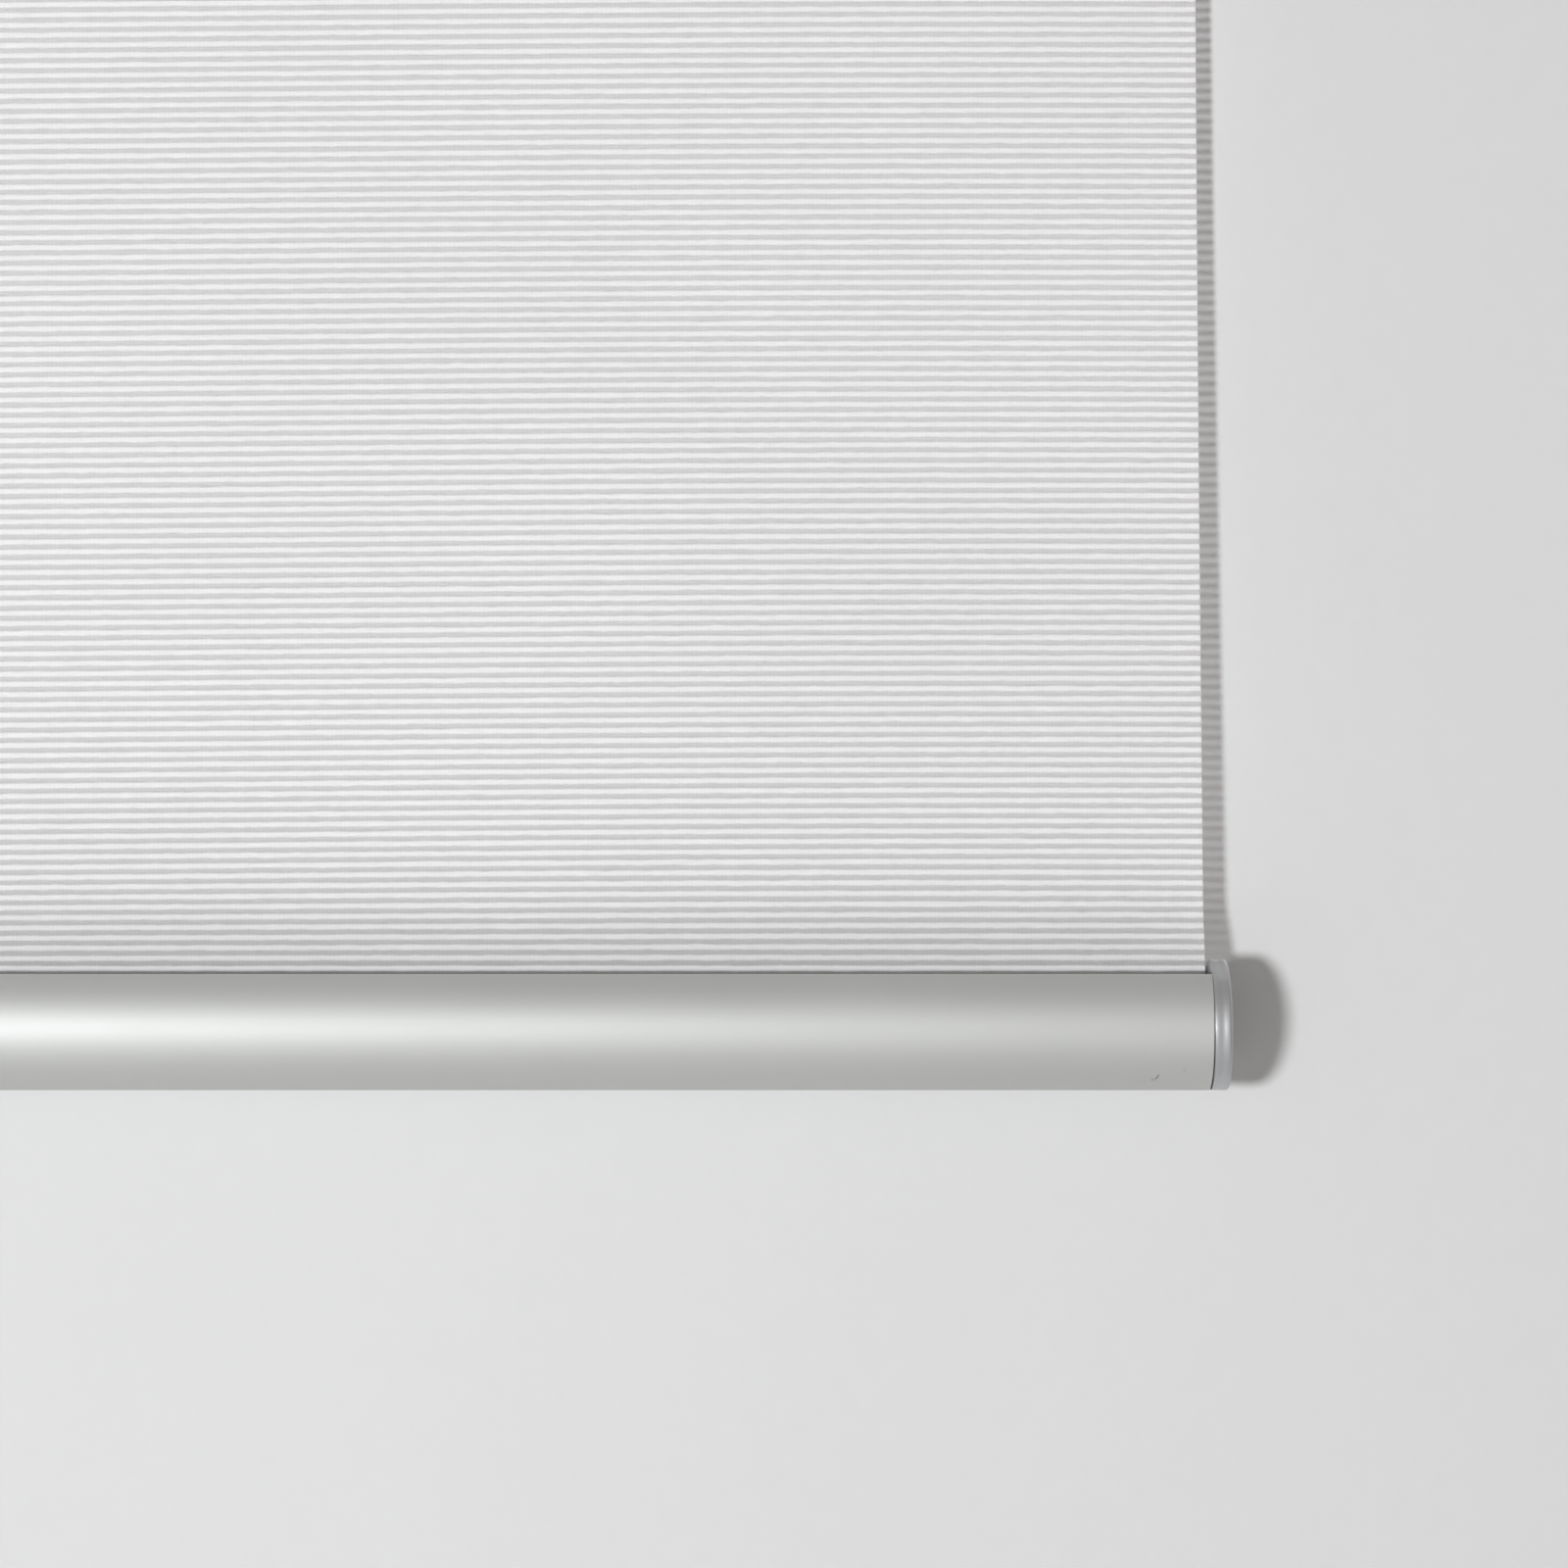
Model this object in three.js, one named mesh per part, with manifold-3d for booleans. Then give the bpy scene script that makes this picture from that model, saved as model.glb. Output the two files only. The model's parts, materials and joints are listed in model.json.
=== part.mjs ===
// A spring roller blind on two wall brackets: millimetres, +Z up, +X to the right seen from the
// room, and the wall at Y = 0 with the room at negative Y. The origin is on the wall, midway
// between the brackets and level with the roller's axis.
import * as THREE from 'three';
import { mergeVertices } from 'three/addons/utils/BufferGeometryUtils.js';
import Module from 'manifold-3d';

const wasm = await Module();
wasm.setup();

// Clearances
const gap = 0.3;                 // between pieces that touch or turn in each other
const slideGap = 0.35;           // beside the cloth in its slots
const overlap = 0.5;             // how far joined shapes run into each other
const past = 1;                  // how far a cut runs past what it cuts
const weldDistance = 1e-4;

// Cloth
const fabricWidth = 600;
const fabricThickness = 0.45;
const drop = 1000;               // roller axis to the underside of the bottom bar
const wrapTurns = 1;             // turns left on the roller when the blind is down

// Bottom bar, a round tube with an open slot along its top
const barDiameter = 24;
const barWall = 1.2;
const barOverhang = 1;           // past the cloth at each side
const barToWall = 1.725;
const clothBehindBarAxis = 3;
const frontLipAngle = 53;        // degrees above the horizontal, at the room side
const backLipAngle = 62;         // the same, at the wall side
const clampDrop = 1;             // clamp channel's centre below the bar's axis
const clampWall = 1.2;
const barSplineDiameter = 4;

// Bottom bar caps
const capThickness = 3.2;
const capRound = 1.2;
const capTongueDepth = 12;
const capTongueThickness = 2.3;
const frontTongueArc = [175, 262];   // degrees from +Y towards +Z
const backTongueArc = [302, 344];

// Roller tube and its keyway
const tubeDiameter = 36;
const tubeWall = 1.2;
const tubeOverhang = 3;          // past the cloth at each side
const keyWidth = 4;
const keyDepth = 2.6;

// Brackets
const bracketPlate = 2;
const bracketFlange = 24;        // width of the leaf that is screwed to the wall
const bracketMargin = 2;         // past the full roll
const bracketCorner = 3;
const coverWall = 1.6;
const coverLip = 1.5;            // how far the cover reaches over the plate's edge
const coverRoom = 4.4;           // inside depth past the plate's outer face

// Wall screws
const screwDiameter = 4;
const screwLength = 30;
const screwHeadDiameter = 8;
const screwHeadHeight = 2.4;
const screwSpread = 28;          // between the two screws of one bracket
const screwHeadCrown = 1;        // how far the head's face draws in from its rim
const screwPoint = 3;            // length of the point
const screwTipRadius = 0.3;
const crossWidth = 1;
const crossLength = 4;
const crossDepth = 1.3;

// Spring end: spindle, crown, ratchet and pawls
const spindleDiameter = 10;
const spindleLength = 266;       // round part
const tongueThickness = 3;
const tongueHeight = 7;
const tonguePastPlate = 4;
const plugDepth = 28;            // how far an end piece reaches into the tube
const crownFloor = 2.4;
const cupDepth = 7.3;
const cupWall = 2;
const ratchetDiameter = 18;
const ratchetThickness = 4;
const pawlThickness = 3;
const pawlHalfWidth = 1;
const pawlBossRadius = 2;
const pawlPinDiameter = 2;
const pawlPinSeat = 2.2;         // depth of its hole in the crown's floor
const pawlPinPastRatchet = 4;    // pin circle past the ratchet's rim
const pawlBite = 1.5;            // depth of the pawl's middle line in the notch
const pawlLift = 20;             // degrees from the notch to the lifted rest
const pawlLead = 0.4;            // notch past the wheel's upright, towards the pawl
const pawlAngle = 135;           // of pawl A's pin about the roller's axis
const coverThickness = 1;
const coverMargin = 2;           // cover's hole past the spindle's tongue
const crownToPlate = 1.7;

// Lift spring with its anchor, carrier, bush and clip
const springWire = 1.6;
const collarDiameter = 20.4;
const anchorStart = 41;          // from the tube's end to the anchor's flange
const anchorFlangeDiameter = 26;
const anchorFlange = 2.5;
const collarLength = 12;
const carrierThickness = 20;
const bushWall = 2;
const bushFlange = 1.5;
const bushFlangeDiameter = 19;
const clipThickness = 0.8;
const clipGroove = 1;            // depth
const clipDiameter = 15;
const clipOpening = 70;          // degrees, at the bottom
const spindleTail = 6;           // spindle past the clip

// Idle end: plug, bush, sprung pin
const plugFlange = 3.7;
const plugFloor = 3;
const idlePlugDepth = 32;        // how far the plug reaches into the tube
const pocketDiameter = 12.6;
const pocketDepth = 26;
const pinDiameter = 5.2;
const pinCollarDiameter = 12;
const pinCollar = 2;
const pinTail = 14;              // pin behind its collar
const pinPastPlate = 4;
const pinChamfer = 1;
const idleBushWall = 1.7;
const idleBushFlange = 1.2;
const idleBushFlangeDiameter = 13;
const pinSpringWire = 1.6;

// Worked out from the values above
const barRadius = barDiameter / 2;
const tubeRadius = tubeDiameter / 2;
const tubeBore = tubeRadius - tubeWall;
const wrapInner = tubeRadius + gap;
const wrapOuter = wrapInner + wrapTurns * fabricThickness;
const fullRoll = Math.sqrt(wrapOuter ** 2 + drop * fabricThickness / Math.PI);
const barY = -(barToWall + barRadius);
const barZ = -drop + barRadius;
const clothY = barY + clothBehindBarAxis;
const clothFront = clothY - fabricThickness / 2;
const axisY = clothFront - gap - wrapOuter;
const tubeEnd = fabricWidth / 2 + tubeOverhang;
const barEnd = fabricWidth / 2 + barOverhang;
const flangeStart = tubeEnd + gap;                    // where an end piece's flange begins
const cupStart = flangeStart + crownFloor;
const cupEnd = cupStart + cupDepth;
const coverEnd = cupEnd + gap + coverThickness;
const plateInner = coverEnd + crownToPlate;
const plateOuter = plateInner + bracketPlate;
const ratchetRadius = ratchetDiameter / 2;
const pawlCircle = ratchetRadius + pawlPinPastRatchet;
const cupInner = pawlCircle + pawlBossRadius + 1;
const cupOuter = cupInner + cupWall;
const plateRadius = Math.max(fullRoll, cupOuter) + bracketMargin;
const clampInner = barSplineDiameter / 2 + fabricThickness + slideGap;
const clampY = clothY;
const clampZ = barZ - clampDrop;
const spindleRadius = spindleDiameter / 2;
const collarRadius = collarDiameter / 2;
const pinRadius = pinDiameter / 2;

const group = new THREE.Group();
export default group;

// ---- Shape helpers ----

// A closed three.js geometry as a solid that can be joined and cut.
function solid(geometry) {
  const bare = new THREE.BufferGeometry();
  bare.setAttribute('position', geometry.getAttribute('position').clone());
  if (geometry.index) bare.setIndex(geometry.index.clone());
  const merged = mergeVertices(bare, weldDistance);
  const index = merged.index.array;
  const kept = [];
  for (let i = 0; i < index.length; i += 3) {
    const [a, b, c] = [index[i], index[i + 1], index[i + 2]];
    if (a !== b && b !== c && c !== a) kept.push(a, b, c);
  }
  const vertProperties = new Float32Array(merged.getAttribute('position').array);
  return new wasm.Manifold(new wasm.Mesh({ numProp: 3, vertProperties, triVerts: new Uint32Array(kept) }));
}

// Adds a solid to the group as a mesh with its own material.
function add(name, piece, color, roughness, metalness, place = [0, 0, 0]) {
  const mesh = piece.getMesh();
  const geometry = new THREE.BufferGeometry();
  geometry.setAttribute('position', new THREE.BufferAttribute(new Float32Array(mesh.vertProperties), 3));
  geometry.setIndex(new THREE.BufferAttribute(new Uint32Array(mesh.triVerts), 1));
  geometry.computeVertexNormals();
  const node = new THREE.Mesh(geometry, new THREE.MeshStandardMaterial({ color, roughness, metalness }));
  node.name = name;
  node.position.set(...place);
  group.add(node);
}

// A (y, z) outline carried along X from x0 to x1.
function bar(shape, x0, x1, curveSegments = 24) {
  const geometry = new THREE.ExtrudeGeometry(shape, { depth: x1 - x0, bevelEnabled: false, curveSegments });
  const toX = new THREE.Matrix4().makeBasis(
    new THREE.Vector3(0, 1, 0), new THREE.Vector3(0, 0, 1), new THREE.Vector3(1, 0, 0));
  geometry.applyMatrix4(toX);
  geometry.translate(x0, 0, 0);
  return solid(geometry);
}

// A profile of [x, radius] points turned about the X axis. It starts and ends on the axis, or
// closes on itself.
function turned(points, segments = 40) {
  let area = 0;
  points.forEach(([x, r], i) => {
    const [nextX, nextR] = points[(i + 1) % points.length];
    area += r * nextX - nextR * x;
  });
  const ordered = area > 0 ? [...points] : [...points].reverse();
  if (ordered.every(([, r]) => r > 0)) ordered.push(ordered[0]);
  const geometry = new THREE.LatheGeometry(ordered.map(([x, r]) => new THREE.Vector2(r, x)), segments);
  const toX = new THREE.Matrix4().makeBasis(
    new THREE.Vector3(0, 1, 0), new THREE.Vector3(1, 0, 0), new THREE.Vector3(0, 0, -1));
  geometry.applyMatrix4(toX);
  return solid(geometry);
}

function ring(x0, x1, inner, outer, segments = 40) {
  return turned([[x0, inner], [x0, outer], [x1, outer], [x1, inner]], segments);
}

function rod(x0, x1, radius, segments = 32) {
  return turned([[x0, 0], [x0, radius], [x1, radius], [x1, 0]], segments);
}

function box(x0, x1, y0, y1, z0, z1) {
  const geometry = new THREE.BoxGeometry(x1 - x0, y1 - y0, z1 - z0);
  geometry.translate((x0 + x1) / 2, (y0 + y1) / 2, (z0 + z1) / 2);
  return solid(geometry);
}

// The same piece at the other end of the blind.
function mirrored(piece) {
  return piece.mirror([1, 0, 0]);
}

const radians = (degrees) => degrees * Math.PI / 180;

// A band between two radii and two angles, in degrees from +Y towards +Z.
function band(inner, outer, from, to) {
  const shape = new THREE.Shape();
  shape.absarc(0, 0, outer, radians(from), radians(to), false);
  shape.absarc(0, 0, inner, radians(to), radians(from), true);
  shape.closePath();
  return shape;
}

// ---- Bottom bar ----

function bottomBar() {
  const shell = bar(band(barRadius - barWall, barRadius, 180 - frontLipAngle, 360 + backLipAngle),
    -barEnd, barEnd, 26);
  const slotHalf = Math.asin((fabricThickness / 2 + slideGap) / clampInner) * 180 / Math.PI;
  const channel = bar(band(clampInner, clampInner + clampWall, 90 + slotHalf, 450 - slotHalf),
    -barEnd, barEnd, 10).translate(0, clothBehindBarAxis, -clampDrop);
  return shell.add(channel).add(clampWebs(0));
}

// The two webs that carry the clamp channel, down and back, with some room on both sides.
function clampWebs(room) {
  const half = clampWall / 2 + room;
  const inside = barRadius - barWall / 2;
  const webDown = box(-barEnd, barEnd, clothBehindBarAxis - half, clothBehindBarAxis + half,
    -Math.sqrt(inside ** 2 - clothBehindBarAxis ** 2), -clampDrop - clampInner - clampWall / 2);
  const webBack = box(-barEnd, barEnd, clothBehindBarAxis + clampInner + clampWall / 2, inside,
    -clampDrop - half, -clampDrop + half);
  return webDown.add(webBack);
}

// The right cap: a disc with a rounded outer edge, and two tongues that sit inside the bar on
// either side of its lower web.
function barCap() {
  const inner = barEnd + gap;
  const outer = inner + capThickness;
  const profile = [[inner, 0], [inner, barRadius]];
  const steps = 4;
  for (let i = 0; i <= steps; i++) {
    const turn = radians(90 * i / steps);
    profile.push([outer - capRound * (1 - Math.sin(turn)), barRadius - capRound * (1 - Math.cos(turn))]);
  }
  profile.push([outer, 0]);
  const tongueOuter = barRadius - barWall - gap;
  const tongueInner = tongueOuter - capTongueThickness;
  const start = barEnd - capTongueDepth;
  const clampRoom = rod(start - past, barEnd, clampInner + clampWall + gap, 24)
    .translate(0, clothBehindBarAxis, -clampDrop).add(clampWebs(gap));
  const front = bar(band(tongueInner, tongueOuter, ...frontTongueArc), start, inner + overlap, 6);
  const back = bar(band(tongueInner, tongueOuter, ...backTongueArc), start, inner + overlap, 4);
  return turned(profile, 48).add(front.add(back).subtract(clampRoom));
}

const silver = 0xc3c4c3;
const barPlace = [0, barY, barZ];
add('bottom_bar', bottomBar(), 0xb9bbb8, 0.42, 0.9, barPlace);
add('bar_cap_right', barCap(), silver, 0.38, 0.6, barPlace);
add('bar_cap_left', mirrored(barCap()), silver, 0.38, 0.6, barPlace);
add('bottom_spline', rod(-fabricWidth / 2, fabricWidth / 2, barSplineDiameter / 2, 20),
  0xe8e6e0, 0.6, 0, [0, clampY, clampZ]);

// ---- Cloth ----

const cloth = 0xf0efea;
const sheetBottom = clampZ + barSplineDiameter / 2 + gap;
add('fabric_sheet', box(-fabricWidth / 2, fabricWidth / 2,
  clothFront, clothFront + fabricThickness, sheetBottom, 0), cloth, 0.9, 0);

const axisPlace = [0, axisY, 0];
add('fabric_wrap', ring(-fabricWidth / 2, fabricWidth / 2, wrapInner, wrapOuter, 56),
  cloth, 0.9, 0, axisPlace);

// ---- Roller tube ----

const keyHalf = keyWidth / 2;
const keyFloor = tubeRadius - keyDepth;
const keyInner = keyFloor - tubeWall;                   // lowest point of the keyway's wall

function rollerTube() {
  const keyWall = box(-tubeEnd, tubeEnd, -keyHalf - tubeWall, keyHalf + tubeWall, keyInner, tubeRadius)
    .intersect(rod(-tubeEnd, tubeEnd, tubeRadius, 56));
  const keyRoom = box(-tubeEnd - past, tubeEnd + past, -keyHalf, keyHalf, keyFloor, tubeRadius + past);
  return ring(-tubeEnd, tubeEnd, tubeBore, tubeRadius, 56).add(keyWall).subtract(keyRoom);
}

function tubeSpline() {
  return box(-fabricWidth / 2, fabricWidth / 2, -keyHalf + gap, keyHalf - gap,
    keyFloor + gap, tubeRadius - gap - fabricThickness);
}

// The groove that lets an end piece slide past the keyway's wall.
function keyRoomIn(x0, x1) {
  return box(x0, x1, -keyHalf - tubeWall - gap, keyHalf + tubeWall + gap, keyInner - gap, tubeRadius + past);
}

add('roller_tube', rollerTube(), 0xc9cbca, 0.45, 0.9, axisPlace);
add('tube_spline', tubeSpline(), 0xdadad5, 0.6, 0, axisPlace);

// ---- Spring end: crown, ratchet and pawls (at negative X) ----

const plugRadius = tubeBore - gap;
const pawlPin = new THREE.Vector2(pawlCircle * Math.cos(radians(pawlAngle)),
  pawlCircle * Math.sin(radians(pawlAngle)));
const toothPoint = new THREE.Vector2(-pawlLead, ratchetRadius - pawlBite);
const pawlReach = toothPoint.distanceTo(pawlPin);
const pawlDown = Math.atan2(toothPoint.y - pawlPin.y, toothPoint.x - pawlPin.x);

function crown() {
  const body = turned([
    [-(tubeEnd - plugDepth), spindleRadius + gap], [-cupStart, spindleRadius + gap],
    [-cupStart, cupInner], [-cupEnd, cupInner], [-cupEnd, cupOuter],
    [-flangeStart, Math.max(cupOuter, tubeRadius)], [-flangeStart, plugRadius],
    [-(tubeEnd - plugDepth), plugRadius]]);
  const pinHole = rod(-cupStart - past, -cupStart + pawlPinSeat, pawlPinDiameter / 2 + gap, 16);
  return body
    .subtract(keyRoomIn(-flangeStart, -(tubeEnd - plugDepth) + past))
    .subtract(pinHole.translate(0, pawlPin.x, pawlPin.y))
    .subtract(pinHole.translate(0, -pawlPin.x, -pawlPin.y));
}

function spindle() {
  const start = -cupStart - gap;
  const end = start + spindleLength;
  const clipAt = end - spindleTail;
  const groove = clipThickness + 2 * gap;
  const round = turned([
    [start, 0], [start, spindleRadius], [clipAt - groove, spindleRadius],
    [clipAt - groove, spindleRadius - clipGroove], [clipAt, spindleRadius - clipGroove],
    [clipAt, spindleRadius], [end, spindleRadius], [end, 0]], 32);
  const tongue = box(-plateOuter - tonguePastPlate, start + overlap,
    -tongueThickness / 2, tongueThickness / 2, -tongueHeight / 2, tongueHeight / 2);
  return round.add(tongue);
}

// The wheel's rim with two notches that are the dropped pawl's outline with room around it.
function ratchetWheel() {
  const start = -cupStart - 2 * gap;
  const along = new THREE.Vector2(Math.cos(pawlDown), Math.sin(pawlDown));
  const up = new THREE.Vector2(-along.y, along.x);
  const room = pawlHalfWidth + gap;
  const foot = toothPoint.clone().addScaledVector(along, gap);
  const notch = new THREE.Shape([
    foot.clone().addScaledVector(up, -room),
    foot.clone().addScaledVector(up, ratchetRadius),
    foot.clone().addScaledVector(along, -ratchetDiameter).addScaledVector(up, ratchetRadius),
    foot.clone().addScaledVector(along, -ratchetDiameter).addScaledVector(up, -room)]);
  const cut = bar(notch, start - ratchetThickness - past, start + past);
  const hole = box(start - ratchetThickness - past, start + past, -tongueThickness / 2 - gap,
    tongueThickness / 2 + gap, -tongueHeight / 2 - gap, tongueHeight / 2 + gap);
  return rod(start - ratchetThickness, start, ratchetRadius, 48)
    .subtract(cut).subtract(cut.rotate([180, 0, 0])).subtract(hole);
}

// Pawl A, lifted clear of the wheel, about its own pin: a boss and a square-ended arm.
function pawl() {
  const start = -cupStart - 3 * gap;
  const lifted = pawlDown + radians(pawlLift);
  const arm = box(start - pawlThickness, start, 0, pawlReach, -pawlHalfWidth, pawlHalfWidth);
  const boss = rod(start - pawlThickness, start, pawlBossRadius, 20);
  const bore = rod(start - pawlThickness - past, start + past, pawlPinDiameter / 2 + gap, 16);
  return arm.rotate([lifted * 180 / Math.PI, 0, 0]).add(boss).subtract(bore);
}

function pawlPinRod() {
  return rod(-cupEnd, -cupStart + pawlPinSeat - gap, pawlPinDiameter / 2, 16);
}

function ratchetCover() {
  return ring(-coverEnd, -cupEnd - gap, tongueHeight / 2 + coverMargin, cupOuter - gap);
}

const steel = 0x9a9c9e;
add('spring_end_crown', crown(), 0xe4e3de, 0.5, 0, axisPlace);
add('spindle', spindle(), steel, 0.35, 0.9, axisPlace);
add('ratchet_wheel', ratchetWheel(), 0x8d8f91, 0.4, 0.9, axisPlace);
add('ratchet_cover', ratchetCover(), steel, 0.4, 0.9, axisPlace);
for (const [letter, side] of [['a', 1], ['b', -1]]) {
  const place = [0, axisY + side * pawlPin.x, side * pawlPin.y];
  add(`pawl_${letter}`, side > 0 ? pawl() : pawl().rotate([180, 0, 0]), 0xb08d4f, 0.4, 0.9, place);
  add(`pawl_pin_${letter}`, pawlPinRod(), steel, 0.35, 0.9, place);
}

// ---- Lift spring ----

const anchorX = -tubeEnd + anchorStart;
const springStart = anchorX + anchorFlange + gap;
const spindleEnd = -cupStart - gap + spindleLength;
const clipX = spindleEnd - spindleTail - gap;           // inner end of the clip
const bushEnd = clipX - clipThickness - gap;
const carrierEnd = bushEnd - bushFlange - gap;
const carrierStart = carrierEnd - carrierThickness;
const springEnd = carrierStart - gap;
const springInner = collarRadius + gap;
const bushOuter = spindleRadius + gap + bushWall;

function springAnchor() {
  const bore = spindleRadius + gap;
  return turned([
    [anchorX, bore], [anchorX, anchorFlangeDiameter / 2],
    [anchorX + anchorFlange, anchorFlangeDiameter / 2], [anchorX + anchorFlange, collarRadius],
    [anchorX + anchorFlange + collarLength, collarRadius], [anchorX + anchorFlange + collarLength, bore]]);
}

function springCarrier() {
  const bore = bushOuter + gap;
  return turned([
    [carrierStart - collarLength, bore], [carrierStart - collarLength, collarRadius],
    [carrierStart, collarRadius], [carrierStart, plugRadius], [carrierEnd, plugRadius],
    [carrierEnd, bore]]).subtract(keyRoomIn(carrierStart - past, carrierEnd + past));
}

function spindleBush() {
  const bore = spindleRadius + gap;
  return turned([
    [carrierStart - collarLength, bore], [carrierStart - collarLength, bushOuter],
    [carrierEnd + gap, bushOuter], [carrierEnd + gap, bushFlangeDiameter / 2],
    [bushEnd, bushFlangeDiameter / 2], [bushEnd, bore]]);
}

function spindleClip() {
  const shape = band(spindleRadius - clipGroove + gap, clipDiameter / 2,
    -90 + clipOpening / 2, 270 - clipOpening / 2);
  return bar(shape, clipX - clipThickness, clipX, 10);
}

add('spring_anchor', springAnchor(), 0xd8d7d2, 0.55, 0, axisPlace);
add('lift_spring', ring(springStart, springEnd, springInner, springInner + springWire),
  0x77797c, 0.35, 0.9, axisPlace);
add('spring_carrier', springCarrier(), 0xd8d7d2, 0.55, 0, axisPlace);
add('spindle_bush', spindleBush(), 0xf2f1ec, 0.5, 0, axisPlace);
add('spindle_clip', spindleClip(), 0x5f6163, 0.35, 0.9, axisPlace);

// ---- Idle end (at positive X) ----

const plugStart = tubeEnd - idlePlugDepth;
const plugEnd = flangeStart + plugFlange;
const pocketStart = plugStart + plugFloor;
const pocketEnd = pocketStart + pocketDepth;
const idleBushOuter = pinRadius + gap + idleBushWall;

function idleEndPlug() {
  const pocket = pocketDiameter / 2;
  const nose = idleBushOuter + gap;
  return turned([
    [plugStart, 0], [plugStart, plugRadius], [flangeStart, plugRadius], [flangeStart, tubeRadius],
    [plugEnd, tubeRadius], [plugEnd, nose], [pocketEnd, nose], [pocketEnd, pocket],
    [pocketStart, pocket], [pocketStart, 0]]).subtract(keyRoomIn(plugStart - past, flangeStart));
}

function idleBush() {
  const bore = pinRadius + gap;
  return turned([
    [pocketEnd + gap, bore], [pocketEnd + gap, idleBushOuter], [plugEnd + gap, idleBushOuter],
    [plugEnd + gap, idleBushFlangeDiameter / 2],
    [plugEnd + gap + idleBushFlange, idleBushFlangeDiameter / 2],
    [plugEnd + gap + idleBushFlange, bore]], 32);
}

function idlePin() {
  const collarEnd = pocketEnd - gap;
  const collarStart = collarEnd - pinCollar;
  const tip = plateOuter + pinPastPlate;
  return turned([
    [collarStart - pinTail, 0], [collarStart - pinTail, pinRadius], [collarStart, pinRadius],
    [collarStart, pinCollarDiameter / 2], [collarEnd, pinCollarDiameter / 2], [collarEnd, pinRadius],
    [tip - pinChamfer, pinRadius], [tip, pinRadius - pinChamfer], [tip, 0]], 32);
}

function idlePinSpring() {
  const inner = pinRadius + 2 * gap;
  return ring(pocketStart + gap, pocketEnd - 2 * gap - pinCollar, inner, inner + pinSpringWire, 24);
}

add('idle_end_plug', idleEndPlug(), 0xe4e3de, 0.5, 0, axisPlace);
add('idle_bush', idleBush(), 0xb8964f, 0.4, 0.9, axisPlace);
add('idle_pin', idlePin(), steel, 0.3, 0.9, axisPlace);
add('idle_pin_spring', idlePinSpring(), 0x77797c, 0.35, 0.9, axisPlace);

// ---- Brackets, covers and screws ----

// A plate's side outline: square at the wall, round about the roller's axis.
function plateOutline(radius, backY) {
  const shape = new THREE.Shape();
  shape.absarc(axisY, 0, radius, Math.PI / 2, 3 * Math.PI / 2, false);
  shape.lineTo(backY, -radius);
  shape.lineTo(backY, radius);
  shape.closePath();
  return shape;
}

const flangeMiddle = plateOuter - (bracketFlange + bracketPlate) / 2;

// The leaf on the wall, with rounded inner corners and two screw holes.
function wallLeaf() {
  const shape = new THREE.Shape();
  const [near, far] = [plateOuter - bracketFlange, plateOuter];
  shape.moveTo(far, -plateRadius);
  shape.lineTo(far, plateRadius);
  shape.lineTo(near + bracketCorner, plateRadius);
  const corner = [near + bracketCorner, plateRadius - bracketCorner];
  shape.absarc(corner[0], corner[1], bracketCorner, Math.PI / 2, Math.PI, false);
  shape.absarc(corner[0], -corner[1], bracketCorner, Math.PI, 1.5 * Math.PI, false);
  shape.closePath();
  for (const side of [-1, 1]) {
    const hole = new THREE.Path();
    hole.absarc(flangeMiddle, side * screwSpread / 2, screwDiameter / 2 + gap, 0, 2 * Math.PI, true);
    shape.holes.push(hole);
  }
  const geometry = new THREE.ExtrudeGeometry(shape,
    { depth: bracketPlate, bevelEnabled: false, curveSegments: 6 });
  geometry.rotateX(Math.PI / 2);                        // the outline's (x, y) becomes (x, z)
  return solid(geometry);
}

function bracket() {
  return bar(plateOutline(plateRadius, 0), plateInner, plateOuter, 24).add(wallLeaf());
}

function idleBracket() {
  const hole = rod(plateInner - past, plateOuter + past, pinRadius + gap, 24);
  return bracket().subtract(hole.translate(0, axisY, 0));
}

// The spring side's plate has a slot from its top edge down to the spindle's tongue.
function springBracket() {
  const slot = box(-plateOuter - past, -plateInner + past, axisY - tongueThickness / 2 - gap,
    axisY + tongueThickness / 2 + gap, -tongueHeight / 2 - gap, plateRadius + past);
  return mirrored(bracket()).subtract(slot);
}

function bracketCover() {
  const start = plateOuter - coverLip;
  const end = plateOuter + coverRoom + coverWall;
  const inside = bar(plateOutline(plateRadius + gap, past), start - past, end - coverWall, 24);
  return bar(plateOutline(plateRadius + gap + coverWall, -gap), start, end, 24).subtract(inside);
}

// A pan-head screw along +Y, its head against the wall leaf.
function wallScrew() {
  const headStart = -bracketPlate - gap - screwHeadHeight;
  const head = screwHeadDiameter / 2;
  const shank = screwDiameter / 2;
  const length = screwHeadHeight + screwLength;
  const along = turned([
    [0, 0], [0, head - screwHeadCrown], [screwHeadCrown * 0.9, head - screwHeadCrown * 0.2],
    [screwHeadHeight, head], [screwHeadHeight, shank],
    [length - screwPoint, shank], [length, screwTipRadius], [length, 0]], 16);
  const [wide, long] = [crossWidth / 2, crossLength / 2];
  const cross = box(-past, crossDepth, -wide, wide, -long, long)
    .add(box(-past, crossDepth, -long, long, -wide, wide));
  return along.subtract(cross).rotate([0, 0, 90]).translate(0, headStart, 0);
}

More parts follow.
